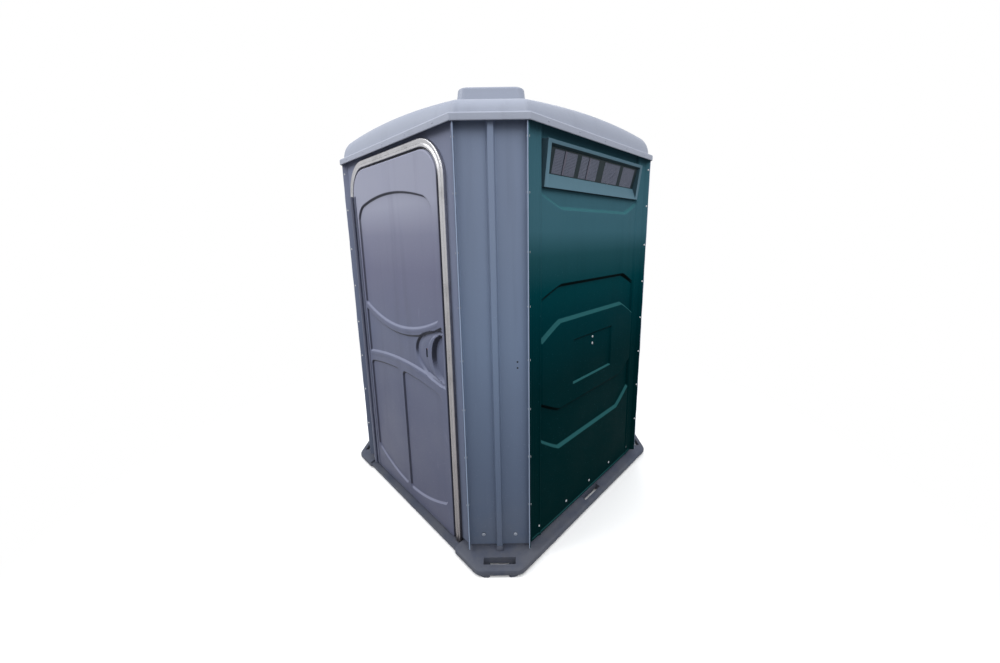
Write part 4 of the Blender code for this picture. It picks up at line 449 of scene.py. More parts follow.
@dataclass(frozen=True)
class Tissue:
    """Wound paper: soft, matt, with the fine lines of its layers."""

    name: str
    colour: Colour

    def material(self) -> bpy.types.Material:
        """Build the finish.

        Returns:
            The material.
        """
        bench = Bench(self.name)
        layers = bench.noise(260.0, 3.0, 0.6, (1.0, 0.05, 1.0))
        fibres = bench.noise(640.0, 3.0, 0.6)
        colour = bench.veil(self.colour, layers, (0.4, 0.7), 0.25, shade(self.colour, 0.86))
        bench.feed(bench.shader, Base_Color=colour, Roughness=0.95, Specular_IOR_Level=0.1)
        bench.emboss([(layers, 0.2, 0.0006), (fibres, 0.2, 0.0004)])
        return bench.made


@dataclass(frozen=True)
class Sign:
    """The latch's indicator disc: free by its window at rest, engaged once the latch is turned."""

    name: str
    centre: Colour
    free: Colour
    engaged: Colour
    seam: float = 0.0015

    def material(self) -> bpy.types.Material:
        """Build the finish.

        Returns:
            The material.
        """
        bench = Bench(self.name)
        parts = bench.add("ShaderNodeSeparateXYZ")
        shifted = bench.add("ShaderNodeVectorMath", operation="SUBTRACT")
        bench.join(bench.where, shifted.inputs[0])
        shifted.inputs[1].default_value = self.centre
        bench.join(shifted.outputs["Vector"], parts.inputs["Vector"])
        sector = bench.combine("ADD", parts.outputs["X"], parts.outputs["Z"])
        edge = bench.span(sector, -self.seam, self.seam)
        dull = bench.noise(90.0, 4.0, 0.6)
        colour = bench.blend(edge, self.free, self.engaged)
        colour = bench.veil(colour, dull, (0.4, 0.7), 0.2, (0.03, 0.03, 0.03))
        bench.feed(bench.shader, Base_Color=colour, Roughness=0.5, Specular_IOR_Level=0.3)
        bench.emboss([(dull, 0.1, 0.0005)])
        return bench.made


Finish = Union[Moulded, Metal, Fitting, Tissue, Sign]

# Green wall by height: painted shade towards the foot and a painted sky sheen towards the top.
WALL_MARKS = ((0.0, (0.0001, 0.0132, 0.0145)), (0.30, (0.0002, 0.0170, 0.0200)),
              (0.50, (0.0002, 0.0300, 0.0380)), (0.59, (0.0010, 0.0420, 0.0520)),
              (0.69, (0.0150, 0.0700, 0.0860)), (0.755, (0.0440, 0.1250, 0.1600)),
              (0.80, (0.0470, 0.1280, 0.1640)))
# Cabin, door and frame greys by height: painted shade towards the foot and painted light towards the top.
CABIN_MARKS = ((0.0, (0.092, 0.120, 0.182)), (0.45, (0.164, 0.216, 0.316)), (0.9, (0.198, 0.242, 0.340)))
DOOR_MARKS = ((0.0, (0.085, 0.092, 0.145)), (0.42, (0.130, 0.146, 0.218)), (0.64, (0.152, 0.158, 0.236)),
              (0.75, (0.200, 0.208, 0.290)), (0.83, (0.310, 0.322, 0.412)))
FRAME_MARKS = ((0.0, (0.105, 0.125, 0.185)), (0.45, (0.160, 0.188, 0.275)), (0.9, (0.192, 0.212, 0.298)))
BASE_MARKS = ((0.0, (0.050, 0.060, 0.092)), (0.5, (0.060, 0.072, 0.106)), (1.0, (0.060, 0.072, 0.106)))
ROOF_MARKS = ((0.0, (0.340, 0.400, 0.475)), (0.865, (0.360, 0.412, 0.490)), (0.90, (0.340, 0.374, 0.448)),
              (0.950, (0.335, 0.362, 0.440)), (0.968, (0.285, 0.312, 0.386)))
TANK_MARKS = ((0.0, (0.150, 0.160, 0.180)), (1.0, (0.170, 0.180, 0.200)))
PIPE_MARKS = ((0.0, (0.400, 0.410, 0.420)), (1.0, (0.450, 0.460, 0.470)))
# Vent frame by height: painted light on its top rail.
VENT_MARKS = ((0.0, (0.020, 0.075, 0.090)), (0.76, (0.026, 0.085, 0.105)), (0.84, (0.105, 0.190, 0.245)))
SCREEN_MARKS = ((0.0, (0.13, 0.145, 0.195)), (1.0, (0.155, 0.170, 0.228)))
# Backing between the panes: near-black, as painted shade.
BACKING_SHADE_MARKS = ((0.0, (0.003, 0.012, 0.016)), (1.0, (0.005, 0.016, 0.021)))


@dataclass(frozen=True)
class FinishSet:
    """Every finish on the cabin."""

    wall: Moulded = Moulded("wall_green_moulded", WALL_MARKS, 0.50, 0.006, 0.06, 0.02, 0.01,
                            painted_highlight=(0.034, 0.140, 0.150), painted_highlight_share=0.55, shade_share=0.95,
                            sheen=(0.10, 0.75, 0.85))
    vent: Moulded = Moulded("vent_green_moulded", VENT_MARKS, 0.48, 0.05, 0.05, 0.02, 0.0, waves=0.05,
                            painted_highlight=(0.046, 0.118, 0.144), painted_highlight_share=0.75, shade_share=0.9,
                            toward=(0.0, 0.35, 0.94), sheen=(0.30, 0.85, 1.0))
    cabin: Moulded = Moulded("cabin_grey_moulded", CABIN_MARKS, 0.52, 0.12, 0.10, 0.10, 0.14,
                             painted_highlight=(0.34, 0.42, 0.56), painted_highlight_share=0.25, shade_share=0.3)
    # The door's painted highlight and painted shade follow a light from the upper left.
    door: Moulded = Moulded("door_grey_moulded", DOOR_MARKS, 0.48, 0.12, 0.10, 0.12, 0.06,
                            painted_highlight=(0.32, 0.34, 0.44), painted_highlight_share=0.34, shade_share=0.85,
                            toward=(-0.55, 0.0, 0.85))
    frame: Moulded = Moulded("frame_grey_moulded", FRAME_MARKS, 0.52, 0.12, 0.10, 0.10, 0.12)
    base: Moulded = Moulded("base_grey_moulded", BASE_MARKS, 0.62, 0.20, 0.14, 0.18, 0.22)
    roof: Moulded = Moulded("roof_grey_moulded", ROOF_MARKS, 0.48, 0.30, 0.08, 0.10, 0.0)
    tank: Moulded = Moulded("tank_grey_moulded", TANK_MARKS, 0.55, 0.30, 0.10, 0.14, 0.12)
    pipe: Moulded = Moulded("pipe_grey_drawn", PIPE_MARKS, 0.42, 0.35, 0.06, 0.08, 0.05, waves=0.03)
    screen: Moulded = Moulded("screen_grey_mesh", SCREEN_MARKS, 0.55, 0.25, 0.05, 0.05, 0.0, waves=0.02)
    # Near-black backing: painted shade between the panes.
    backing: Moulded = Moulded("screen_frame_painted_shade", BACKING_SHADE_MARKS, 0.55, 0.20, 0.05, 0.05, 0.0, waves=0.02)
    # The jamb is darker low down: painted shade of the dimmer reflection, with dirt at the foot.
    jamb: Metal = Metal("jamb_rolled_metal", (0.50, 0.50, 0.52), 0.30, tarnish=0.55,
                        low_shade_and_dirt=(0.150, 0.135, 0.135))
    # Dark slate of the hinge-side leg, darkened further as painted shadow of the gap beside the hinge.
    hinge_leg_shaded_slate: Fitting = Fitting("jamb_slate_painted_shadow", (0.030, 0.036, 0.064), 0.45)
    hinge: Fitting = Fitting("hinge_painted_slate", (0.085, 0.095, 0.145), 0.42)
    spindle: Metal = Metal("spindle_satin_metal", (0.40, 0.41, 0.44), 0.42)
    steel: Metal = Metal("fitting_brushed_steel", (0.60, 0.61, 0.62), 0.32, (1.0, 1.0, 0.2))
    bar: Metal = Metal("bar_satin_steel", (0.62, 0.63, 0.64), 0.26, (0.04, 0.04, 1.0))
    screw: Fitting = Fitting("screw_dull_zinc", (0.26, 0.29, 0.35), 0.4)
    divider: Fitting = Fitting("divider_grey_plastic", (0.080, 0.078, 0.115), 0.5)
    rivet: Metal = Metal("rivet_bright_metal", (0.42, 0.44, 0.47), 0.34, (1.0, 1.0, 1.0))
    washer: Fitting = Fitting("washer_black_rubber", (0.020, 0.020, 0.024), 0.6, 0.2)
    latch: Fitting = Fitting("latch_black_plastic", (0.030, 0.030, 0.034), 0.38)
    seat: Fitting = Fitting("seat_black_gloss", (0.028, 0.028, 0.031), 0.16, 0.55)
    paper: Tissue = Tissue("paper_white_soft", (0.86, 0.85, 0.82))


class Finisher:
    """Makes each finish once and puts it on pieces and nodes."""

    def __init__(self) -> None:
        """Start with no material made."""
        self.shelf: dict[str, bpy.types.Material] = {}

    def get(self, finish: Finish) -> bpy.types.Material:
        """The material of a finish, made on first use.

        Args:
            finish: The finish.

        Returns:
            Its material.
        """
        if finish.name not in self.shelf:
            self.shelf[finish.name] = finish.material()
        return self.shelf[finish.name]

    def dress(self, node: str, finish: Finish) -> None:
        """Give a node of the frame its finish.

        Args:
            node: The node's name.
            finish: Its finish.
        """
        piece = frame["nodes"][node]
        piece.data.materials.clear()
        piece.data.materials.append(self.get(finish))
        LOG.info("dressed %s with %s", node, finish.name)


FINISHES = FinishSet()
FINISHER = Finisher()


# Shapes


def ease(value: float) -> float:
    """A smooth step from 0 to 1."""
    held = min(1.0, max(0.0, value))
    return held * held * (3 - 2 * held)


def hump(value: float) -> float:
    """A smooth hump of height 1 between -1 and 1."""
    return ease(1.0 - abs(value))


def lerp(first: float, second: float, share: float) -> float:
    """The value between two others."""
    return first + (second - first) * share


def through(knots: Sequence[Span], value: float) -> float:
    """Follow the straight runs between knots.

    Args:
        knots: Values and what each of them becomes, in order.
        value: The value.

    Returns:
        What it becomes, or itself beyond the last knot.
    """
    for (low, first), (high, last) in zip(knots, knots[1:]):
        if value <= high:
            return lerp(first, last, (value - low) / (high - low))
    return value


def stations(low: float, high: float, coarse: float,
             zones: Iterable[tuple[float, float, float]]) -> list[float]:
    """Places from low to high in coarse steps, with finer ones in zones.

    Args:
        low: First place.
        high: Last place.
        coarse: The largest step.
        zones: Start, end and step of each finer zone.

    Returns:
        The places in order.
    """
    marks = [low, high]
    for start, end, step in zones:
        count = max(1, round((end - start) / step))
        marks += [start + (end - start) * i / count for i in range(count + 1)]
    ordered: list[float] = []
    for mark in sorted(m for m in marks if low <= m <= high):
        if not ordered or mark - ordered[-1] > STATION_GAP:
            ordered.append(mark)
    filled: list[float] = []
    for start, end in zip(ordered, ordered[1:]):
        count = max(1, math.ceil((end - start) / coarse - 0.001))
        filled += [start + (end - start) * i / count for i in range(count)]
    return filled + [ordered[-1]]


def side_frame(side: Side, out: float = 0.0, along: float = 0.0, up: float = 0.0) -> Matrix:
    """u along a side, v up, w out of it.

    Args:
        side: The side.
        out: Distance from the middle of the cabin.
        along: Shift along the side.
        up: Shift upwards.

    Returns:
        The side's frame.
    """
    crosswise = Matrix(((0, 0, 1, 0), (1, 0, 0, 0), (0, 1, 0, 0), (0, 0, 0, 1)))
    return (Matrix.Rotation(side.value * math.pi / 2, 4, "Z") @ crosswise
            @ Matrix.Translation((along, up, out)))


def corner_frame(corner: Corner, out: float) -> Matrix:
    """u along a cut corner, v up, w out of it."""
    return Matrix.Rotation(math.pi / 4, 4, "Z") @ side_frame(Side(corner.value), out)


def at(here: Matrix, u: float, v: float, w: float = 0.0) -> Matrix:
    """A frame moved to a place of its own."""
    return here @ Matrix.Translation((u, v, w))


def lifted(plan: Sequence[Vector], height: float) -> list[Vector]:
    """A plan's points at one height."""
    return [Vector((p.x, p.y, height)) for p in plan]


def ring(radius: float, sides: int) -> list[Vector]:
    """The points of a circle in plan."""
    turns = [2 * math.pi * i / sides for i in range(sides)]
    return [Vector((radius * math.cos(turn), radius * math.sin(turn))) for turn in turns]


def quarter_turn(start: float, steps: int) -> list[float]:
    """The angles of a quarter turn, from its start on."""
    return [start + math.pi / 2 * step / steps for step in range(steps + 1)]


def quarter_arc(middle: Span, radius: float, start: float, steps: int) -> list[Span]:
    """The points of a quarter circle, from its start on."""
    return [(middle[0] + radius * math.cos(angle), middle[1] + radius * math.sin(angle))
            for angle in quarter_turn(start, steps)]


def face_out(form: Form) -> None:
    """Turn an open form's faces to the side that looks along w.

    Args:
        form: The form.
    """
    bmesh.ops.recalc_face_normals(form, faces=form.faces[:])
    if sum(f.normal.z * f.calc_area() for f in form.faces) < 0:
        bmesh.ops.reverse_faces(form, faces=form.faces[:])


def stand(name: str, data: bpy.types.ID) -> bpy.types.Object:
    """Stand data in the scene.

    Args:
        name: The object's name.
        data: Its mesh, lamp or lens.

    Returns:
        The new object.
    """
    made = bpy.data.objects.new(name, data)
    bpy.context.scene.collection.objects.link(made)
    return made


def object_of(name: str, form: Form) -> bpy.types.Object:
    """Make an object of a form.

    Args:
        name: The object's name.
        form: The form, which is used up.

    Returns:
        The new object.
    """
    mesh = bpy.data.meshes.new(name)
    form.to_mesh(mesh)
    form.free()
    return stand(name, mesh)


def sheet_form(columns: Sequence[float], rows: Sequence[float], place: Place,
               hole: Callable[[float, float], bool] = lambda u, v: False) -> Form:
    """A moulded sheet on a grid of stations.

    Args:
        columns: Stations across.
        rows: Stations upwards.
        place: Where a station of the sheet lies.
        hole: Whether a cell is left open.

    Returns:
        The open sheet.
    """
    form = bmesh.new()
    grid = [[form.verts.new(place(u, v)) for u in columns] for v in rows]
    for j in range(len(rows) - 1):
        for i in range(len(columns) - 1):
            if not hole((columns[i] + columns[i + 1]) / 2, (rows[j] + rows[j + 1]) / 2):
                form.faces.new((grid[j][i], grid[j][i + 1], grid[j + 1][i + 1], grid[j + 1][i]))
    bmesh.ops.delete(form, geom=[v for v in form.verts if not v.link_faces], context="VERTS")
    bmesh.ops.remove_doubles(form, verts=form.verts, dist=MERGE_GAP)
    return form


def skin_loops(loops: Sequence[Sequence[Vector]], closed: bool = False,
               caps: tuple[bool, bool] = (False, False),
               form: Optional[Form] = None) -> Form:
    """Faces between loops of equal count.

    Args:
        loops: The loops in order.
        closed: Whether the last loop joins the first.
        caps: Whether the first and the last loop are filled.
        form: A form to add to.

    Returns:
        The form.
    """
    form = form or bmesh.new()
    made = [[form.verts.new(p) for p in loop] for loop in loops]
    pairs = list(zip(made, made[1:])) + ([(made[-1], made[0])] if closed else [])
    for lower, upper in pairs:
        for i, start in enumerate(lower):
            after = (i + 1) % len(lower)
            form.faces.new((start, lower[after], upper[after], upper[i]))
    for wanted, loop in zip(caps, (made[0], made[-1])):
        if wanted:
            form.faces.new(loop)
    return form


def turned_form(profile: Sequence[Span], sides: int, where: Matrix,
                form: Optional[Form] = None) -> Form:
    """A turned solid about w.

    Args:
        profile: Radius and height of each ring, from the foot to the crown.
        sides: Points round a ring.
        where: The solid's frame.
        form: A form to add to.

    Returns:
        The form.
    """
    loops = [[where @ p for p in lifted(ring(radius, sides), height)] for radius, height in profile]
    return skin_loops(loops, caps=(True, True), form=form)


def rounded_plan(points: Sequence[Vector], radius: float, steps: int) -> list[Vector]:
    """A closed outline with its corners rounded.

    Args:
        points: The corners.
        radius: Radius of each corner.
        steps: Steps round each corner.

    Returns:
        The rounded outline.
    """
    rounded = []
    for index, corner in enumerate(points):
        before = (points[index - 1] - corner).normalized()
        after = (points[(index + 1) % len(points)] - corner).normalized()
        half_angle = before.angle(after) / 2
        setback = radius / math.tan(half_angle)
        centre = corner + (before + after).normalized() * (radius / math.sin(half_angle))
        start = corner + before * setback - centre
        sweep = start.angle_signed(corner + after * setback - centre)
        rounded += [centre + Matrix.Rotation(-sweep * step / steps, 2) @ start for step in range(steps + 1)]
    return rounded


def box_plan(half_long: float, half_wide: float) -> list[Vector]:
    """The four corners of a rectangle, counterclockwise."""
    return [Vector((-half_long, -half_wide)), Vector((half_long, -half_wide)),
            Vector((half_long, half_wide)), Vector((-half_long, half_wide))]


def round_box(u: float, v: float, box: Box, radius: float) -> float:
    """How far a point lies inside a rectangle with round corners.

    Args:
        u: Place across.
        v: Place upwards.
        box: Left, foot, right and top.
        radius: Radius of the corners.

    Returns:
        The distance to the edge, positive inside.
    """
    left, foot, right, top = box
    across = abs(u - (left + right) / 2) - (right - left) / 2 + radius
    upward = abs(v - (foot + top) / 2) - (top - foot) / 2 + radius
    outside = math.hypot(max(across, 0.0), max(upward, 0.0))
    return radius - outside - min(max(across, upward), 0.0)


@dataclass
class Workshop:
    """Turns forms into named pieces of the cabin."""

    smooth_angle: float = math.radians(34.0)
    bevel_angle: float = math.radians(40.0)
    made: list[str] = field(default_factory=list)

    def bake(self, piece: bpy.types.Object) -> None:
        """Apply a piece's modifiers to its mesh.

        Args:
            piece: The piece.
        """
        bpy.context.view_layer.update()
        seen = piece.evaluated_get(bpy.context.evaluated_depsgraph_get())
        mesh = bpy.data.meshes.new_from_object(seen)
        piece.modifiers.clear()
        piece.data = mesh

    def put(self, name: str, form: Form, finish: Finish, body: Body, slot: Slot,
            where: Optional[Matrix] = None, wall: float = 0.0, bevel: float = 0.0,
            stands_for: Sequence[str] = ()) -> bpy.types.Object:
        """Make a piece from a form.

        Args:
            name: The piece's name.
            form: Its form, which is used up.
            finish: Its finish.
            body: The body that it rides on.
            slot: The record's slot of its finish.
            where: The frame that the form is drawn in.
            wall: Thickness that an open sheet gets, inwards.
            bevel: Width of the rounding of its edges.
            stands_for: The nodes that it replaces.

        Returns:
            The piece.
        """
        if where is not None:
            bmesh.ops.transform(form, matrix=where, verts=form.verts)
        if not wall:
            bmesh.ops.recalc_face_normals(form, faces=form.faces[:])
        piece = object_of(name, form)
        if wall:
            step = piece.modifiers.new("wall", "SOLIDIFY")
            step.thickness, step.offset = wall, -1.0
            step.use_even_offset = step.use_quality_normals = True
        if bevel:
            step = piece.modifiers.new("edge", "BEVEL")
            step.width, step.segments, step.limit_method = bevel, 2, "ANGLE"
            step.angle_limit = self.bevel_angle
        return self.settle(piece, finish, body, slot, stands_for)

    def settle(self, piece: bpy.types.Object, finish: Finish, body: Body, slot: Slot,
               stands_for: Sequence[str] = ()) -> bpy.types.Object:
        """Bake a piece, shade it, finish it and let it ride.

        Args:
            piece: The piece.
            finish: Its finish.
            body: The body that it rides on.
            slot: The record's slot of its finish; not used.
            stands_for: The nodes that it replaces.

        Returns:
            The piece.
        """
        if piece.modifiers:
            self.bake(piece)
        mesh = piece.data
        mesh.name = piece.name
        mesh.materials.clear()
        mesh.materials.append(FINISHER.get(finish))
        mesh.shade_smooth()
        mesh.set_sharp_from_angle(angle=self.smooth_angle)
        step = piece.modifiers.new("even_shade", "WEIGHTED_NORMAL")
        step.keep_sharp = True
        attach(piece, body.value)
        if stands_for:
            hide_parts(*stands_for)
        self.made.append(piece.name)
        LOG.info("made %s with %d faces on %s", piece.name, len(mesh.polygons), body.value)
        return piece


SHOP = Workshop()


# The cabin's shared sizes


@dataclass(frozen=True)
class CabinSizes:
    """Sizes that several sub-assemblies share."""

    half_width: float = 0.735
    corner_cut: float = 0.207
    sheet: float = 0.004
    gap: float = 0.0003
    wall_foot: float = 0.062
    wall_top: float = 1.9977
    seam_reach: float = 0.032

    @property
    def corner_reach(self) -> float:
        """Outer face of a corner panel from the middle."""
        return (2 * self.half_width - self.corner_cut) / math.sqrt(2)

    @property
    def panel_half(self) -> float:
        """Half width of a wall sheet."""
        return self.half_width - self.corner_cut - self.sheet * math.sqrt(2)

    @property
    def corner_half(self) -> float:
        """Half width of a corner panel's channel."""
        return self.corner_cut / math.sqrt(2) - self.sheet - self.gap


SIZES = CabinSizes()


@dataclass
class Rivets:
    """Domed rivet heads and washers, gathered into one piece."""

    radius: float = 0.0058
    rise: float = 0.0028
    sides: int = 10
    dome: tuple[Span, ...] = ((1.0, -0.3), (1.0, 0.25), (0.86, 0.62), (0.55, 0.9), (0.2, 1.0))
    form: Form = field(default_factory=bmesh.new)

    def add(self, where: Matrix, size: float = 1.0) -> None:
        """Set a head.

        Args:
            where: Its frame, the head standing along w.
            size: Its size as a share of the usual one.
        """
        radius, rise = self.radius * size, self.rise * size
        profile = [(radius * across, rise * up) for across, up in self.dome]
        turned_form(profile, self.sides, where, self.form)

    def put(self, name: str, body: Body, slot: Slot = Slot.SCREW, finish: Optional[Finish] = None) -> None:
        """Gather the heads into a piece."""
        SHOP.put(name, self.form, finish or FINISHES.rivet, body, slot)


@dataclass
class WallPanel:
    """A wall panel: fluted borders, two ribs, a sunk field with a spool, an octagon and a lower form."""

    side: Side
    field_half: float = 0.445
    field_slope: float = 0.008
    sink: float = 0.0135
    slope: float = 0.019
    shoulder: float = 0.300
    rib_middle: float = 0.4535
    rib_half: float = 0.0085
    rib_rise: float = 0.0042
    flute_from: float = 0.466
    flute_pitch: float = 0.0115
    flutes: int = 4
    flute_sink: float = 0.0016
    window_half: float = 0.4053
    window: Span = (1.757, 1.9123)
    plate: Box = (-0.193, 0.781, 0.193, 1.021)
    plate_sink: float = 0.0095
    octagon_rise: float = 0.0035
    spool_rise: float = 0.0035
    spool_fold: float = 0.0095
    lower: Span = (0.463, 0.560)
    octagon: Box = (0.690, 0.765, 1.127, 1.050)
    spool: Box = (1.318, 1.258, 1.650, 1.708)
    knot_reach: float = 0.021
    plain_from: float = 1.735
    bow: float = 1.12
    plate_round: float = 0.008
    plate_slope: float = 0.009
    foot_rise: float = 0.0030
    foot_band: float = 0.012
    foot_slope: float = 0.008
    side_slope: float = 0.02
    tip_gap: float = 0.0012
    seam_waves: tuple[Span, Span] = ((0.0007, 19.0), (0.0005, 41.0))
    coarse: Span = (0.028, 0.030)
    edge_margin: float = 0.01
    foot_rivets: tuple[float, ...] = (-0.456, -0.228, 0.0, 0.228, 0.456)
    foot_rivet_height: float = 0.113
    plate_rivets: Span = (0.958, 0.995)

    def edges(self) -> list[Span]:
        """Middle and side height of each stepped edge, from the foot upwards."""
        return [self.lower, self.octagon[:2], self.octagon[2:], self.spool[:2], self.spool[2:]]

    def side_height(self, middle: float) -> float:
        """Height at the sides of the line that has this height in the middle.

        Args:
            middle: The line's height in the middle.

        Returns:
            Its height at the sides.
        """
        reach = self.knot_reach
        knots = [(SIZES.wall_foot, SIZES.wall_foot)]
        for mid, side in self.edges():
            knots += [(mid - reach, side - reach), (mid + reach, side + reach)]
        knots += [(self.plain_from, self.plain_from), (SIZES.wall_top, SIZES.wall_top)]
        return through(knots, middle)

    def sunk(self, middle: float) -> float:
        """Share of the full sink on a line.

        Args:
            middle: The line's height in the middle.

        Returns:
            The share.
        """
        lower, foot, top, spool_foot, spool_top = [mid for mid, _ in self.edges()]
        shares = []
        for low, high in ((lower, foot), (top, spool_foot), (spool_top, SIZES.wall_top)):
            ending = ease((high - middle) / self.slope) if high < SIZES.wall_top else 1.0
            shares.append(ease((middle - low) / self.slope) * ending)
        return max(shares)

    def relief(self, u: float, middle: float) -> float:
        """Height of the relief over the sheet's plane.

        Args:
            u: Place across the panel.
            middle: The line's height in the middle.

        Returns:
            The relief, outwards.
        """
        reach = abs(u)
        across = ease((self.field_half - reach) / self.field_slope)
        _, foot, top, spool_foot, spool_top = [mid for mid, _ in self.edges()]
        raised = -self.sink * self.sunk(middle)
        margin = self.edge_margin
        if foot - margin < middle < top + margin:
            raised += self.octagon_rise * (1 - self.sunk(middle))
        if spool_foot - margin < middle < spool_top + margin:
            fold = max(0.0, (reach - self.shoulder) / (self.field_half - self.shoulder))
            raised += (self.spool_rise - self.spool_fold * fold) * (1 - self.sunk(middle))
        raised *= across
        plate = round_box(u, middle, self.plate, self.plate_round)
        raised -= self.plate_sink * ease(plate / self.plate_slope)
        raised += self.rib_rise * hump((reach - self.rib_middle) / self.rib_half)
        for index in range(self.flutes):
            spot = self.flute_from + self.flute_pitch * (index + 0.5)
            raised -= self.flute_sink * hump((reach - spot) / (self.flute_pitch / 2))
        at_foot = ease((SIZES.wall_foot + self.foot_band - middle) / self.foot_slope)
        raised += self.foot_rise * at_foot * ease((SIZES.panel_half - reach) / self.side_slope)
        return raised

    def place(self, u: float, middle: float) -> Vector:
        """Where a station of the sheet lies.

        Args:
            u: Place across, beyond the panel's edge for the seam.
            middle: The line's height in the middle.

        Returns:
            The place in the side's frame.
        """
        half = SIZES.panel_half
        ramp = (min(abs(u), self.field_half) - self.shoulder) / (self.field_half - self.shoulder)
        share = max(0.0, ramp) ** self.bow
        v = lerp(middle, self.side_height(middle), share)
        if abs(u) <= half:
            return Vector((u, v, self.relief(u, middle)))
        beyond = (abs(u) - half) / SIZES.seam_reach
        (deep, turns), (shallow, many) = self.seam_waves
        wave = deep * math.sin(v * turns + self.side.value) + shallow * math.sin(v * many)
        run = (SIZES.seam_reach - self.tip_gap + wave) * beyond / math.sqrt(2)
        return Vector((math.copysign(half + run, u), v, run))

    def build(self) -> None:
        """Make the panel and stand it in its side."""
        half, seam = SIZES.panel_half, SIZES.seam_reach
        zones = []
        for sign in (-1, 1):
            spans = [(self.field_half - self.field_slope - 0.002, self.field_half + 0.001, 0.0016),
                     (self.rib_middle - self.rib_half, self.rib_middle + self.rib_half, 0.0021),
                     (self.flute_from, self.flute_from + self.flute_pitch * self.flutes, 0.0023),
                     (half - 0.002, half, 0.002), (self.shoulder - 0.009, self.shoulder + 0.009, 0.003),
                     (self.plate[2] - self.plate_slope, self.plate[2] + 0.001, 0.002),
                     (self.window_half, self.window_half + 0.001, 0.001), (half, half + seam, seam / 2)]
            zones += [(min(sign * a, sign * b), max(sign * a, sign * b), step) for a, b, step in spans]
        columns = stations(-half - seam, half + seam, self.coarse[0], zones)
        bands = [(SIZES.wall_foot, SIZES.wall_foot + 0.014, 0.002)]
        bands += [(mid - self.knot_reach, mid + self.knot_reach, 0.0026) for mid, _ in self.edges()]
        bands += [(spot - self.plate_round, spot + self.plate_round, 0.002) for spot in self.plate[1::2]]
        bands += [(spot, spot + 0.001, 0.001) for spot in self.window]
        rows = stations(SIZES.wall_foot, SIZES.wall_top, self.coarse[1], bands)
        low, high = self.window
        form = sheet_form(columns, rows, self.place,
                          lambda u, v: abs(u) < self.window_half and low < v < high)
        name = "wall_panel_" + self.side.name.lower()
        SHOP.put(name + "_moulded", form, FINISHES.wall, Body.CABIN, Slot.WALL,
                 side_frame(self.side, SIZES.half_width), SIZES.sheet, stands_for=[name])
        self.rivet()

    def rivet(self) -> None:
        """Set the rivets at the foot and on the plate."""
        rivets = Rivets()
        here = side_frame(self.side, SIZES.half_width)
        for u in self.foot_rivets:
            rivets.add(at(here, u, self.foot_rivet_height), 1.25)
        for v in self.plate_rivets:
            rivets.add(at(here, 0.0, v, self.octagon_rise - self.plate_sink), 1.15)
        rivets.put("wall_rivets_" + self.side.name.lower(), Body.CABIN)


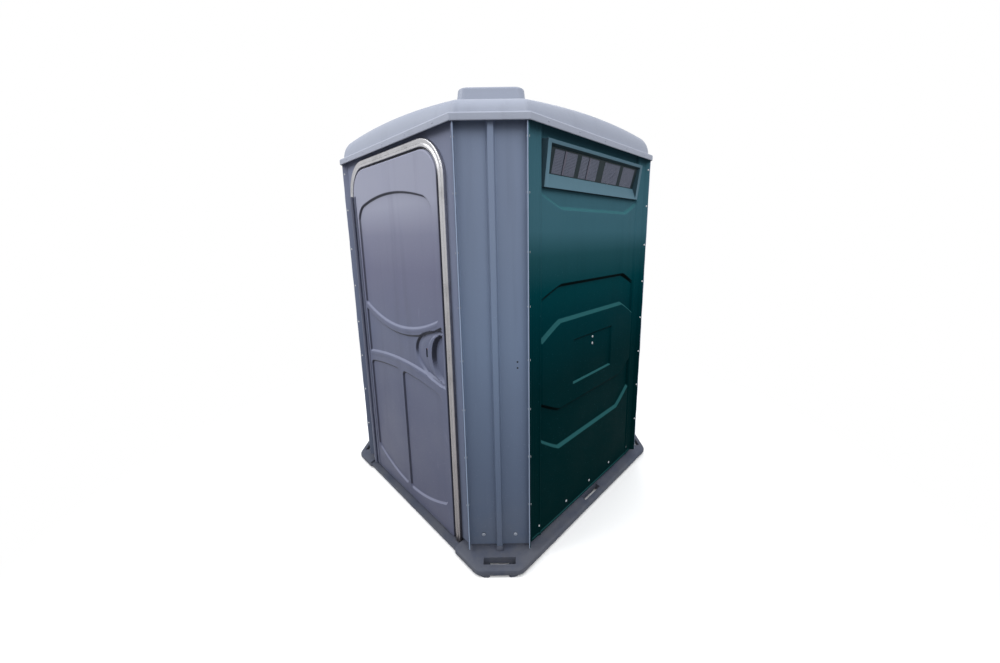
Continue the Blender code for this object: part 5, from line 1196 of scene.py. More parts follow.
@dataclass
class VentUnit:
    """A leaning vent high on a wall: its frame, and the panes of fine mesh in their dark backing, whose
    near-black colour is painted shade.
    """

    side: Side
    half: float = 0.436
    foot: float = 1.737
    top: float = 1.931
    hole_half: float = 0.4048
    hole: Span = (1.7575, 1.9118)
    proud: float = 0.028
    lip: float = 0.0045
    inset: float = 0.003
    face: float = 0.025
    cap: float = 0.018
    sill: float = 0.008
    pane_half: float = 0.400
    pane_foot: float = 1.800
    pane_top: float = 1.905
    pane_deep: float = 0.013
    back: float = 0.0035
    depth: float = 0.0185
    wall: float = 0.0022
    screen: float = 0.0025
    margin: Span = (0.0035, 0.0060)
    seat: float = -0.0095
    mesh_pitch: float = 0.0062
    mesh_bar: float = 0.0036
    mesh_wire: float = 0.0009
    mesh_over: float = 0.0015
    mesh_lift: float = 0.0001
    soft: float = 0.0016
    clearance: float = 0.0006
    widest_cell: float = 0.2
    panes: tuple[Span, ...] = ((-0.366, -0.296), (-0.278, -0.197), (-0.164, -0.103),
                               (-0.089, -0.010), (0.046, 0.202), (0.236, 0.370))
    dividers: tuple[Span, ...] = ((-0.294, -0.280), (-0.101, -0.091))

    @staticmethod
    def loop(half: float, foot: float, foot_out: float, top: float, top_out: float) -> list[Vector]:
        """A rectangular loop whose top stands further out than its foot."""
        return [Vector((-half, foot, foot_out)), Vector((half, foot, foot_out)),
                Vector((half, top, top_out)), Vector((-half, top, top_out))]

    def build(self) -> None:
        """Make the frame and the screen."""
        edge, inner = self.pane_half + self.screen, self.half - self.inset - self.face
        low, high = self.hole
        loops = [
            self.loop(self.half, self.foot, self.seat, self.top, self.seat),
            self.loop(self.half - self.inset, self.foot + self.inset, self.lip,
                      self.top - self.inset, self.proud),
            self.loop(inner, self.foot + self.sill, self.lip, self.top - self.cap, self.proud - self.inset),
            self.loop(self.pane_half, self.pane_foot, -self.pane_deep, self.pane_top, self.pane_deep),
            self.loop(edge, self.pane_foot - self.screen, -self.pane_deep - self.back,
                      self.pane_top + self.screen, self.pane_deep - self.back),
            self.loop(edge, low + self.wall, -self.depth, high - self.wall, -self.depth),
            self.loop(self.hole_half, low, -self.depth, high, -self.depth),
            self.loop(self.hole_half, low, self.seat, high, self.seat),
        ]
        name = "vent_frame_" + self.side.name.lower()
        SHOP.put(name + "_moulded", skin_loops(loops, closed=True), FINISHES.vent, Body.CABIN, Slot.VENT,
                 side_frame(self.side, SIZES.half_width), bevel=self.soft, stands_for=[name])
        self.build_screen()

    def build_screen(self) -> None:
        """Make the backing with its open panes, and the mesh in each pane."""
        run, lean = self.pane_top - self.pane_foot, 2 * self.pane_deep
        length = math.hypot(run, lean)
        half, reach = self.pane_half - self.clearance, length / 2 - self.clearance
        low, high = -reach + self.margin[0], reach - self.margin[1]
        middle = (self.pane_foot + self.pane_top) / 2
        where = (side_frame(self.side, SIZES.half_width - self.screen / 2, 0.0, middle)
                 @ Matrix.Rotation(math.atan2(lean, run), 4, "X"))
        marks = [edge for pane in self.panes for edge in pane]
        columns = stations(-half, half, self.widest_cell, [(m, m, 1.0) for m in marks])
        rows = stations(-reach, reach, self.widest_cell, [(m, m, 1.0) for m in (low, high)])
        form = sheet_form(columns, rows, lambda u, v: Vector((u, v, self.screen / 2)),
                          lambda u, v: low < v < high and any(a < u < b for a, b in self.panes))
        side = self.side.name.lower()
        # The backing's near-black finish is painted shade round the panes.
        SHOP.put("vent_backing_" + side, form, FINISHES.backing, Body.CABIN, Slot.VENT, where, self.screen)
        mesh = bmesh.new()
        for left, right in self.panes:
            self.weave(mesh, left, right, low, high)
        SHOP.put("vent_mesh_" + side, mesh, FINISHES.screen, Body.CABIN, Slot.SCREEN, where,
                 stands_for=["vent_screen_" + side])
        strips, wire = bmesh.new(), self.mesh_wire
        for left, right in self.dividers:
            self.bar(strips, (left, low), (right, high), self.screen / 2 + wire, self.screen + wire)
        SHOP.put("vent_dividers_" + side, strips, FINISHES.divider, Body.CABIN, Slot.SCREEN, where)

    def weave(self, form: Form, left: float, right: float, low: float, high: float) -> None:
        """Add the fine mesh of one pane: flat bars upwards and across.

        Args:
            form: The form that takes the bars.
            left: Left edge of the pane.
            right: Right edge of the pane.
            low: Lower edge of the pane.
            high: Upper edge of the pane.
        """
        over, wire, lift, half = self.mesh_over, self.mesh_wire, self.mesh_lift, self.mesh_bar / 2
        upright = max(2, round((right - left) / self.mesh_pitch))
        for i in range(upright + 1):
            u = lerp(left, right, i / upright)
            self.bar(form, (u - half, low - over), (u + half, high + over), -wire, 0.0)
        level = max(2, round((high - low) / self.mesh_pitch))
        for i in range(level + 1):
            v = lerp(low, high, i / level)
            self.bar(form, (left - over, v - half), (right + over, v + half), lift, wire + lift)

    @staticmethod
    def bar(form: Form, low: Span, high: Span, back: float, front: float) -> None:
        """Add a flat bar.

        Args:
            form: The form that takes it.
            low: Its lower left corner.
            high: Its upper right corner.
            back: Place of its back.
            front: Place of its front.
        """
        (left, foot), (right, top) = low, high
        plan = [Vector((left, foot)), Vector((right, foot)), Vector((right, top)), Vector((left, top))]
        skin_loops([lifted(plan, back), lifted(plan, front)], caps=(True, True), form=form)


@dataclass
class CornerPanel:
    """A cut corner: a channel between two standing flanges, with a rib up its middle."""

    corner: Corner
    rib_base: float = 0.034
    rib_top: float = 0.024
    rib_rise: float = 0.022
    soft: float = 0.003
    tip: float = 0.003
    light_tip: float = 0.0032
    seam_gap: float = 0.0010
    long_run: float = 0.05
    run_step: float = 0.03
    coarse: float = 0.028
    foot_zone: Span = (0.085, 0.004)
    tip_waves: tuple[Span, Span] = ((0.0006, 17.0), (0.0004, 43.0))
    belly: Span = (0.0009, 3.1)
    belly_span: Span = (0.08, 0.06)
    across_turns: Span = (9.0, 12.0)
    turn_shift: float = 1.7
    boss_least: float = 0.14
    rib_foot: Span = (0.012, 0.020)
    boss_half: Span = (0.019, 0.015)
    boss_round: float = 0.011
    boss_foot: float = 0.049
    boss_rise: float = 0.024
    boss_out: float = 0.013
    boss_shares: tuple[float, ...] = (0.0, 0.35, 0.65, 0.85, 0.96, 1.0)
    rivet_out: float = 0.019
    rivet_heights: tuple[float, ...] = (0.297, 0.546, 0.781, 1.010, 1.246, 1.474, 1.708, 1.918)
    screw: Span = (0.077, 0.116)
    washer_rise: float = 0.0008
    latch_heads: tuple[Span, ...] = ((0.096, 0.967), (0.096, 0.995))

    def profile(self) -> list[Vector]:
        """The panel's section with soft corners.

        Returns:
            Its points from one flange's tip to the other's.
        """
        edge, reach = SIZES.corner_half, SIZES.seam_reach - self.seam_gap
        half, top = self.rib_base / 2, self.rib_top / 2
        raw = [(-edge, reach), (-edge, 0.0), (-half, 0.0), (-top, self.rib_rise), (top, self.rib_rise),
               (half, 0.0), (edge, 0.0), (edge, reach)]
        points = [Vector(raw[0])]
        for before, corner, after in zip(raw, raw[1:], raw[2:]):
            here, back, ahead = Vector(corner), Vector(before), Vector(after)
            start = here + (back - here).normalized() * self.soft
            end = here + (ahead - here).normalized() * self.soft
            for step in range(4):
                t = step / 3
                points.append(start * (1 - t) ** 2 + here * 2 * t * (1 - t) + end * t ** 2)
        points.append(Vector(raw[-1]))
        spread = [points[0]]
        points[1:1] = [Vector((-edge, reach - self.tip))]
        points[-1:-1] = [Vector((edge, reach - self.tip))]
        for point in points[1:]:
            span = (point - spread[-1]).length
            if span > self.long_run:
                count = math.ceil(span / self.run_step)
                start = spread[-1].copy()
                spread += [start.lerp(point, i / count) for i in range(1, count)]
            spread.append(point)
        return spread

    def place(self, section: Sequence[Vector], index: float, v: float) -> Vector:
        """Where a station of the panel lies.

        Args:
            section: The panel's section.
            index: Number of the section's point.
            v: Height.

        Returns:
            The place in the corner's frame.
        """
        point = section[round(index)]
        u, w = point.x, point.y
        turn, (tip_across, belly_across) = self.corner.value * self.turn_shift, self.across_turns
        if abs(u) > SIZES.corner_half - 0.001:
            tip = w / SIZES.seam_reach
            (deep, turns), (shallow, many) = self.tip_waves
            w += tip * (deep * math.sin(v * turns + turn) + shallow * math.sin(v * many + u * tip_across))
        elif abs(u) > self.rib_base / 2:
            (depth, turns), (middle, half) = self.belly, self.belly_span
            w += depth * math.sin(v * turns + turn + u * belly_across) * hump((abs(u) - middle) / half)
        else:
            w *= ease((v - SIZES.wall_foot + self.rib_foot[0]) / self.rib_foot[1])
        return Vector((u, v, w))

    def build(self) -> None:
        """Make the panel, the boss at its rib's foot and its rivets."""
        section = self.profile()
        rows = stations(SIZES.wall_foot, SIZES.wall_top, self.coarse, [(SIZES.wall_foot, *self.foot_zone)])
        form = sheet_form([float(i) for i in range(len(section))], rows,
                          lambda i, v: self.place(section, i, v))
        face_out(form)
        # Painted highlight on the flange tips, through the 'edge' attribute.
        edge = form.verts.layers.float.new("edge")
        for vert in form.verts:
            vert[edge] = 1.0 if vert.co.z > SIZES.seam_reach - self.light_tip else 0.0
        name = "corner_panel_" + self.corner.name.lower()
        here = corner_frame(self.corner, SIZES.corner_reach)
        SHOP.put(name + "_moulded", form, FINISHES.cabin, Body.CABIN, Slot.CABIN, here, SIZES.sheet,
                 stands_for=[name])
        self.add_boss(here)
        self.add_rivets(here)

    def add_boss(self, here: Matrix) -> None:
        """Make the rounded boss where the rib meets the deck.

        Args:
            here: The corner's frame.
        """
        loops = []
        long, wide = self.boss_half
        for share in self.boss_shares:
            shrink = math.sqrt(max(0.0, 1 - share ** 2)) * (1 - self.boss_least) + self.boss_least
            plan = rounded_plan(box_plan(long * shrink, wide * shrink), self.boss_round * shrink, 4)
            height = self.boss_foot + self.boss_rise * share
            loops.append([Vector((p.x, height, self.boss_out + p.y)) for p in plan])
        # The boss takes the darker base finish, which paints the shade at the rib's foot.
        SHOP.put("rib_boss_" + self.corner.name.lower(), skin_loops(loops, caps=(True, True)),
                 FINISHES.base, Body.CABIN, Slot.CABIN, here)

    def add_rivets(self, here: Matrix) -> None:
        """Set rivet heads on both faces of the two seams, and the washers under the foot screws.

        Args:
            here: The corner's frame.
        """
        rivets, washers = Rivets(), Rivets(rise=self.washer_rise)
        edge = SIZES.corner_half
        for sign in (-1, 1):
            faces = ((sign * edge, -sign), (sign * (edge + 2 * SIZES.sheet + SIZES.gap), sign))
            for v in self.rivet_heights:
                for u, turn in faces:
                    outward = Matrix.Rotation(turn * math.pi / 2, 4, "Y")
                    rivets.add(at(here, u, v, self.rivet_out) @ outward, 0.9)
            washers.add(at(here, sign * self.screw[0], self.screw[1]), 1.75)
        if self.corner is Corner.FRONT_RIGHT:
            for u, v in self.latch_heads:
                washers.add(at(here, u, v), 0.75)
        name = self.corner.name.lower()
        rivets.put("seam_rivets_" + name, Body.CABIN)
        washers.put("foot_washers_" + name, Body.CABIN, Slot.SCREW, FINISHES.washer)


@dataclass
class Doorway:
    """The rolled metal jamb round the doorway, and the bracket at the hinge's foot."""

    middle: float = -0.005
    half: float = 0.440
    top: float = 1.925
    radius: float = 0.147
    foot: float = 0.0308
    band: float = 0.035
    wall: float = 0.003
    face: float = 0.752
    stop_reach: float = 0.022
    stop_face: float = 0.7122
    stop_back: float = 0.7092
    soft: float = 0.005
    near_soft: float = 0.003
    crown: tuple[Span, ...] = ((0.74, 0.0), (0.64, 0.0006), (0.54, 0.0022), (0.46, 0.0026),
                               (0.40, 0.0022), (0.33, 0.0006), (0.27, 0.0))
    arc_steps: int = 20
    leg_steps: int = 10
    bracket: Box = (-0.513, 0.0312, -0.4805, 0.0700)
    bracket_out: Span = (0.0006, 0.0130)
    bracket_soft: float = 0.002

    def path(self, outset: float) -> list[Vector]:
        """The doorway's outline, moved outwards.

        Args:
            outset: How far it is moved.

        Returns:
            The outline from one foot to the other.
        """
        half, top, radius = self.half + outset, self.top + outset, self.radius + outset
        left, right = self.middle - half, self.middle + half
        steps = self.leg_steps
        points = [Vector((left, lerp(self.foot, top - radius, i / steps))) for i in range(steps)]
        for centre, start in ((left + radius, math.pi), (right - radius, math.pi / 2)):
            for step in range(self.arc_steps + 1):
                angle = start - math.pi / 2 * step / self.arc_steps
                points.append(Vector((centre + radius * math.cos(angle),
                                      top - radius + radius * math.sin(angle))))
        points += [Vector((right, lerp(top - radius, self.foot, i / steps))) for i in range(1, steps + 1)]
        return points

    def section(self) -> list[Span]:
        """The jamb's section.

        Returns:
            For each point its outset from the opening and its distance from the cabin's middle.
        """
        back = SIZES.half_width + SIZES.gap
        outer, within = self.band - self.soft, self.band - self.wall
        corner = quarter_arc((outer, self.face - self.soft), self.soft, 0.0, 4)
        near = quarter_arc((self.near_soft, self.face - self.near_soft), self.near_soft, math.pi / 2, 3)
        crown = [(self.band * share, self.face - drop) for share, drop in self.crown]
        stop = [(0.0, self.stop_face), (-self.stop_reach, self.stop_face), (-self.stop_reach, self.stop_back),
                (self.wall, self.stop_back), (self.wall, self.face - self.wall)]
        return [(self.band, back), *corner, *crown, *near, *stop,
                (outer, self.face - self.wall), (within, self.face - self.soft), (within, back)]

    def build(self) -> None:
        """Make the jamb and the bracket."""
        split = self.leg_steps
        # The hinge-side leg takes the dark slate with painted shadow; the rest is rolled metal.
        for name, finish, part in (("jamb_hinge_side", FINISHES.hinge_leg_shaded_slate, slice(0, split)),
                                   ("jamb_rolled", FINISHES.jamb, slice(split - 1, None))):
            form = bmesh.new()
            lines = [[form.verts.new((p.x, p.y, out)) for p in self.path(outset)[part]]
                     for outset, out in self.section()]
            for line, after in zip(lines, lines[1:] + lines[:1]):
                for i in range(len(line) - 1):
                    form.faces.new((line[i], line[i + 1], after[i + 1], after[i]))
            for end in (0, -1):
                form.faces.new([line[end] for line in lines])
            SHOP.put(name, form, finish, Body.CABIN, Slot.JAMB, side_frame(Side.FRONT),
                     stands_for=["jamb_trim"] if part.start else [])
        bracket = bmesh.new()
        VentUnit.bar(bracket, self.bracket[:2], self.bracket[2:],
                     *(SIZES.half_width + out for out in self.bracket_out))
        SHOP.put("hinge_foot_bracket", bracket, FINISHES.hinge, Body.CABIN, Slot.HINGE,
                 side_frame(Side.FRONT), bevel=self.bracket_soft)


@dataclass
class DoorLeaf:
    """The door's outer skin: an arched panel, a waisted band with the pull, two lower panels."""

    middle: float = -0.005
    half: float = 0.431
    foot: float = 0.036
    top: float = 1.916
    arc: float = 0.138
    foot_arc: float = 0.012
    face: float = 0.752
    skin: float = 0.003
    roll: float = 0.007
    side: float = 0.385
    recess: float = 0.0090
    slope: float = 0.011
    latch_side: float = 0.412
    divider: Span = (-0.019, 0.007)
    lower_foot: Span = (0.100, 0.200)
    lower_top: Span = (0.826, 0.791)
    band_foot: Span = (0.881, 0.846)
    band_top: Span = (1.038, 1.127)
    smile: Span = (1.068, 1.157)
    arch: Span = (1.765, 1.703)
    latch_height: float = 0.9755
    crescent: tuple[float, float, float] = (0.4180, 0.264, 0.138)
    crescent_sink: float = 0.010
    crescent_climb: float = 0.006
    lip: tuple[float, float, float] = (0.4180, 0.153, 0.130)
    lip_rise: float = 0.009
    pocket: tuple[float, float, float] = (0.4080, 0.099, 0.122)
    pocket_sink: float = 0.022
    window: Box = (0.2460, 0.952, 0.2580, 0.999)
    inset: float = 0.002
    steady: float = 0.285
    knot_reach: float = 0.010
    dish_slope: float = 0.009
    crescent_slope: float = 0.006
    climb_run: float = 0.028
    ridge_rise: float = 0.0016
    ridge_half: float = 0.016
    ridge_drops: Span = (0.009, 0.012)
    ridge_end: Span = (0.01, 0.03)
    arch_rounds: Span = (0.075, 0.012)
    lower_rounds: Span = (0.032, 0.024)
    band_round: float = 0.010
    lower_middle: float = 0.5
    coarse: Span = (0.014, 0.022)
    window_margin: Span = (0.02, 0.05)
    rim: tuple[Span, ...] = ((0.0015, 0.0015), (0.0005, 0.0020), (0.0, 0.0065), (0.0, 0.0020))

    def side_height(self, middle: float) -> float:
        """Height of a curve at the panels' sides.

        Args:
            middle: Its height in the middle.

        Returns:
            The height.
        """
        reach = self.knot_reach
        knots = [(self.foot, self.foot)]
        for mid, side in (self.lower_foot, self.lower_top, self.band_foot, self.band_top, self.smile,
                          self.arch):
            knots += [(mid - reach, side - reach), (mid + reach, side + reach)]
        knots.append((self.top, self.top))
        return through(knots, middle)

    def half_ellipse(self, u: float, v: float, shape: tuple[float, float, float]) -> float:
        """How far a point lies inside a half ellipse with an upright straight side.

        Args:
            u: Place across.
            v: Height.
            shape: The straight side's place, the width and the half height.

        Returns:
            The distance to the edge, positive inside.
        """
        edge, width, half = shape
        reach = math.hypot((edge - u) / width, (v - self.latch_height) / half)
        return min((1 - reach) * min(width, half), edge - u)

    def relief(self, u: float, v: float, middle: float) -> float:
        """Height of the relief over the leaf's face.

        Args:
            u: Place across the leaf.
            v: Height.
            middle: Height in the middle of the curve through this place.

        Returns:
            The relief, outwards.
        """
        side = self.side
        left_box = (-side, self.lower_foot[0], self.divider[0], self.lower_top[0])
        right_box = (self.divider[1], self.lower_foot[0], side, self.lower_top[0])
        arch_box = (-side, self.smile[0], side, self.arch[0])
        band_box = (-side, self.band_foot[0], self.latch_side, self.band_top[0])
        high_arch, low_arch = self.arch_rounds
        high_lower, low_lower = self.lower_rounds
        arch_round = high_arch if middle > (self.smile[0] + self.arch[0]) / 2 else low_arch
        lower_round = high_lower if middle > self.lower_middle else low_lower
        fields = ((arch_box, arch_round), (band_box, self.band_round), (left_box, lower_round),
                  (right_box, lower_round))
        sunk = max(round_box(u, middle, box, radius) for box, radius in fields)
        raised = -self.recess * ease(sunk / self.slope)
        inside = self.half_ellipse(u, v, self.crescent)
        climb = self.crescent_climb * ease((inside - self.crescent_slope) / self.climb_run)
        raised -= self.crescent_sink * ease(inside / self.crescent_slope) - climb
        raised += self.lip_rise * ease(self.half_ellipse(u, v, self.lip) / self.dish_slope)
        raised -= self.pocket_sink * ease(self.half_ellipse(u, v, self.pocket) / self.dish_slope)
        over_band = hump((middle - self.smile[0] + self.ridge_drops[0]) / self.ridge_half)
        under_band = hump((middle - self.band_foot[0] + self.ridge_drops[1]) / self.ridge_half)
        ending = ease((side + self.ridge_end[0] - abs(u)) / self.ridge_end[1])
        raised += self.ridge_rise * (over_band + under_band) * ending
        past = max(0.0, self.roll - self.edge_distance(u, v))
        return raised - self.roll + math.sqrt(max(0.0, self.roll ** 2 - past ** 2))

    def edge_distance(self, u: float, v: float) -> float:
        """Distance of a place from the leaf's outline, inwards."""
        box = (-self.half + self.inset, self.foot + self.inset, self.half - self.inset, self.top - self.inset)
        return round_box(u, v, box, self.arc - self.inset if v > self.top / 2 else self.foot_arc - self.inset)

    def place(self, u: float, middle: float) -> Vector:
        """Where a station of the skin lies.

        Args:
            u: Place across, before the round corners draw it in.
            middle: Height in the middle of the curve through this place.

        Returns:
            The place in the leaf's frame.
        """
        share = (u / self.side) ** 2
        v = lerp(middle, self.side_height(middle), min(share, (self.half / self.side) ** 2))
        v = min(self.top - self.inset, max(self.foot + self.inset, v))
        wide = self.half - self.inset
        if v > self.top - self.arc:
            rise = (v - (self.top - self.arc)) / (self.arc - self.inset)
            limit = wide - (self.arc - self.inset) * (1 - math.sqrt(max(0.0, 1 - rise ** 2)))
        elif v < self.foot + self.foot_arc:
            fall = (self.foot + self.foot_arc - v) / (self.foot_arc - self.inset)
            limit = wide - (self.foot_arc - self.inset) * (1 - math.sqrt(max(0.0, 1 - fall ** 2)))
        else:
            limit = wide
        drawn, steady = u, self.steady
        if abs(u) > steady:
            squeezed = steady + (abs(u) - steady) * (limit - steady) / (wide - steady)
            drawn = math.copysign(squeezed, u)
        return Vector((drawn, v, self.relief(drawn, v, middle)))

    def build(self) -> None:
        """Make the skin and stand it in the doorway."""
        wide = self.half - self.inset
        foot, top = self.foot + self.inset, self.top - self.inset
        columns = stations(-wide, wide, self.coarse[0], [
            (-wide, -wide + 0.010, 0.0013), (wide - 0.010, wide, 0.0013),
            (-self.side - 0.002, -0.300, 0.0032), (0.145, self.latch_side + 0.010, 0.0034),
            (self.divider[0] - 0.034, self.divider[1] + 0.034, 0.0030),
            (self.window[0], self.window[2], 0.012)])
        rows = stations(foot, top, self.coarse[1], [
            (foot, self.foot + 0.012, 0.0013), (self.top - 0.012, top, 0.0013),
            (self.lower_foot[0] - 0.004, self.lower_foot[0] + 0.028, 0.0026),
            (self.lower_top[0] - 0.036, self.lower_top[0] + 0.004, 0.0026),
            (self.band_foot[0] - 0.030, 1.082, 0.0031),
            (self.arch[0] - 0.080, self.arch[0] + 0.003, 0.0030), (self.top - self.arc, top, 0.0060)])
        left, low, right, high = self.window

        def is_window(u: float, middle: float) -> bool:
            """Whether a cell lies in the indicator's window."""
            return left < u < right and low < self.place(u, middle).y < high

        form = sheet_form(columns, rows, self.place, is_window)
        self.turn_rim(form)
        SHOP.put("door_outer_moulded", form, FINISHES.door, Body.DOOR, Slot.DOOR,
                 side_frame(Side.FRONT, self.face, self.middle), self.skin, stands_for=["door_outer_skin"])

    def turn_rim(self, form: Form) -> None:
        """Turn the skin's outer edge back.

        Args:
            form: The open skin.
        """
        _, low, right, high = self.window
        beside, above = self.window_margin

        def is_outer(vert: bmesh.types.BMVert) -> bool:
            """Whether a point of an open edge lies on the outline, not round the window."""
            return abs(vert.co.x) > right + beside or not low - above < vert.co.y < high + above

        border = [e for e in form.edges if e.is_boundary and any(is_outer(v) for v in e.verts)]
        centre = Vector((0.0, (self.foot + self.top) / 2))
        for out, back in self.rim:
            made = bmesh.ops.extrude_edge_only(form, edges=border)["geom"]
            verts = [item for item in made if isinstance(item, bmesh.types.BMVert)]
            for vert in verts:
                away = self.outward(Vector((vert.co.x, vert.co.y)), centre)
                vert.co += Vector((away.x * out, away.y * out, -back))
            border = [item for item in made if isinstance(item, bmesh.types.BMEdge)]

    def outward(self, point: Vector, centre: Vector) -> Vector:
        """The outward direction of the leaf's outline at a point.

        Args:
            point: The point, on the outline.
            centre: The middle of the leaf.

        Returns:
            The direction.
        """
        radius = self.arc if point.y > centre.y else self.foot_arc
        corner = Vector((math.copysign(self.half - radius, point.x),
                         self.top - radius if point.y > centre.y else self.foot + radius))
        past_x = abs(point.x) > abs(corner.x)
        past_y = point.y > corner.y if point.y > centre.y else point.y < corner.y
        if past_x and past_y:
            return (point - corner).normalized()
        if past_y:
            return Vector((0.0, math.copysign(1.0, point.y - centre.y)))
        return Vector((math.copysign(1.0, point.x), 0.0))


@dataclass
class Roof:
    """The moulded roof: brim, ledge, dome, the hood along the diagonal and the pipe's boss."""

    brim_half: float = 0.769
    brim_cut: float = 0.219
    brim_foot: float = 1.970
    ledge: float = 2.002
    sheet: float = 0.004
    shoulder_half: float = 0.745
    shoulder_reach: float = 0.912
    shoulder_rise: float = 0.122
    shoulder_lean: float = 0.0195
    shoulder_fall: float = 0.0295
    crown_base: float = 0.085
    crown_rise: float = 0.106
    shoulder_share: float = 0.105
    hood_long: float = 0.450
    hood_wide: float = 0.204
    hood_shift: float = -0.014
    hood_top: float = 2.286
    hood_taper: float = 0.036
    hood_round: float = 0.016
    hood_corner: float = 0.042
    hood_root: float = 2.120
    pipe_reach: float = 0.740
    boss_radius: float = 0.056
    boss_top: float = 2.135
    pipe_hole: float = 0.0409
    hole_depth: float = 0.075
    arc_steps: int = 5
    side_steps: int = 14
    cut_steps: int = 4
    brim_soft: float = 0.008
    brim_round: float = 0.012
    ledge_round: float = 0.013
    inner_round: float = 0.010
    fillet: Span = (0.005, 0.0035)
    fillet_round: float = 0.030
    brim_roll: tuple[Span, ...] = ((0.0022, 0.0), (0.0006, 0.0014), (0.0, 0.0040))
    shoulder_steps: tuple[float, ...] = (0.02, 0.06, 0.12, 0.2, 0.3, 0.42, 0.56, 0.72, 0.88, 1.0)
    crown_scales: tuple[float, ...] = (0.85, 0.79, 0.72, 0.64, 0.56, 0.48, 0.40, 0.32, 0.24, 0.16, 0.08)
    flare: tuple[Span, ...] = ((0.016, -0.0020), (0.012, 0.0003), (0.0075, 0.0022), (0.0035, 0.0060),
                               (0.0010, 0.0110), (0.0, 0.0180))
    flare_height: float = 0.03
    cast_from: float = 3.0
    cutter_span: Span = (1.9, 2.6)
    rivet_half: float = 0.44
    rivet_height: float = 1.986

    @property
    def pipe_spot(self) -> Vector:
        """Where the vent pipe stands in plan."""
        return Vector((-self.pipe_reach, self.pipe_reach)) / math.sqrt(2)

    def octagon(self, half: float, reach: float, radius: float) -> list[Vector]:
        """A square with cut and rounded corners.

        Args:
            half: Half width.
            reach: Distance of the cut corners from the middle.
            radius: Radius of the eight corners.

        Returns:
            Its outline, of the same count for every size.
        """
        run = reach * math.sqrt(2) - half
        corners = []
        for quarter in range(4):
            turn = Matrix.Rotation(quarter * math.pi / 2, 2)
            corners += [turn @ Vector((half, -run)), turn @ Vector((half, run))]
        arcs, size = rounded_plan(corners, radius, self.arc_steps), self.arc_steps + 1
        points: list[Vector] = []
        for index in range(8):
            arc = arcs[index * size:index * size + size]
            after = arcs[(index + 1) % 8 * size]
            points += arc
            count = self.side_steps if index % 2 == 0 else self.cut_steps
            points += [arc[-1].lerp(after, i / count) for i in range(1, count)]
        return points

    def lean(self, point: Vector) -> float:
        """How near a point of the plan is to the roof's corners.

        Args:
            point: The point.

        Returns:
            Its place along its side: -1 at the hood's corners, 1 at the other two.
        """
        angle = math.atan2(point.y, point.x) % (2 * math.pi)
        quarter = round(angle / (math.pi / 2)) % 4
        offset = (angle - quarter * math.pi / 2 + math.pi) % (2 * math.pi) - math.pi
        run = self.shoulder_reach * math.sqrt(2) - self.shoulder_half
        share = max(-1.0, min(1.0, math.tan(offset) * self.shoulder_half / run))
        return share if quarter % 2 == 0 else -share

    def rise(self, scale: float, lean: float) -> float:
        """Height of the dome above the ledge.

        Args:
            scale: Share of the dome's full plan.
            lean: Place along the side.

        Returns:
            The height.
        """
        inner = 1 - self.shoulder_share
        steep = min(1.0, (1 - scale) / self.shoulder_share)
        shoulder = math.sqrt(max(0.0, 1 - (1 - steep) ** 2))
        edge = self.shoulder_rise + self.shoulder_lean * lean - self.shoulder_fall * lean ** 2
        height = self.crown_base + (edge - self.crown_base) * scale
        return shoulder * height + self.crown_rise * max(0.0, inner ** 2 - scale ** 2)

    def brim_loop(self, half: float, height: float, radius: float) -> list[Vector]:
        """A level loop of the brim."""
        reach = (2 * half - self.brim_cut) / math.sqrt(2)
        return lifted(self.octagon(half, reach, radius), height)

    @staticmethod
    def corner_radius(scale: float) -> float:
        """Radius of the dome's corners, tight on the shoulder and wide on the crown."""
        wide = max(0.0, min(1.0, (0.93 - scale) * 4))
        return (0.030 + 0.10 * wide) * min(1.0, scale * 1.2)

    def dome_loops(self, wall: float) -> list[list[Vector]]:
        """Loops of the dome from its foot to the crown.

        Args:
            wall: How far the loops lie inside the outer face.

        Returns:
            The loops.
        """
        scales = [1.0, *(1 - self.shoulder_share * step for step in self.shoulder_steps), *self.crown_scales]
        half, reach, foot = self.shoulder_half - wall, self.shoulder_reach - wall, self.ledge - wall
        loops = []
        for scale in scales:
            plan = self.octagon(half * scale, reach * scale, self.corner_radius(scale))
            loops.append([Vector((p.x, p.y, foot + self.rise(scale, self.lean(p)))) for p in plan])
        return loops

    def outer_loops(self) -> list[list[Vector]]:
        """The outer face.

        Returns:
            Its loops from the brim's foot to the crown.
        """
        brim, foot, ledge = self.brim_half, self.brim_foot, self.ledge
        out, rise = self.fillet
        loops = [self.brim_loop(brim - inset, foot + lift, self.brim_round) for inset, lift in self.brim_roll]
        for angle in quarter_turn(0.0, 5):
            loops.append(self.brim_loop(brim - self.brim_soft * (1 - math.cos(angle)),
                                        ledge - self.brim_soft * (1 - math.sin(angle)), self.ledge_round))
        flare = lifted(self.octagon(self.shoulder_half + out, self.shoulder_reach + out, self.fillet_round),
                       ledge)
        dome = self.dome_loops(0.0)
        dome[0] = [p + Vector((0.0, 0.0, rise)) for p in dome[0]]
        return loops + [flare] + dome

    def inner_loops(self) -> list[list[Vector]]:
        """The inner face.

        Returns:
            Its loops from the brim's foot to the crown.
        """
        half = self.brim_half - self.sheet
        brim = [self.brim_loop(half, height, self.inner_round)
                for height in (self.brim_foot, self.ledge - self.sheet)]
        return brim + self.dome_loops(self.sheet)

    def hood_plan(self, inward: float, height: float) -> list[Vector]:
        """The hood's outline at a height.

        Args:
            inward: How far it is drawn in.
            height: The height.

        Returns:
            The outline in plan.
        """
        share = (height - self.hood_root) / (self.hood_top - self.hood_root)
        cut = self.hood_taper * share + inward
        plan = rounded_plan(box_plan(self.hood_long - cut, self.hood_wide - cut), self.hood_corner, 8)
        turn = Matrix.Rotation(-math.pi / 4, 2)
        return [turn @ (p + Vector((0.0, self.hood_shift))) for p in plan]

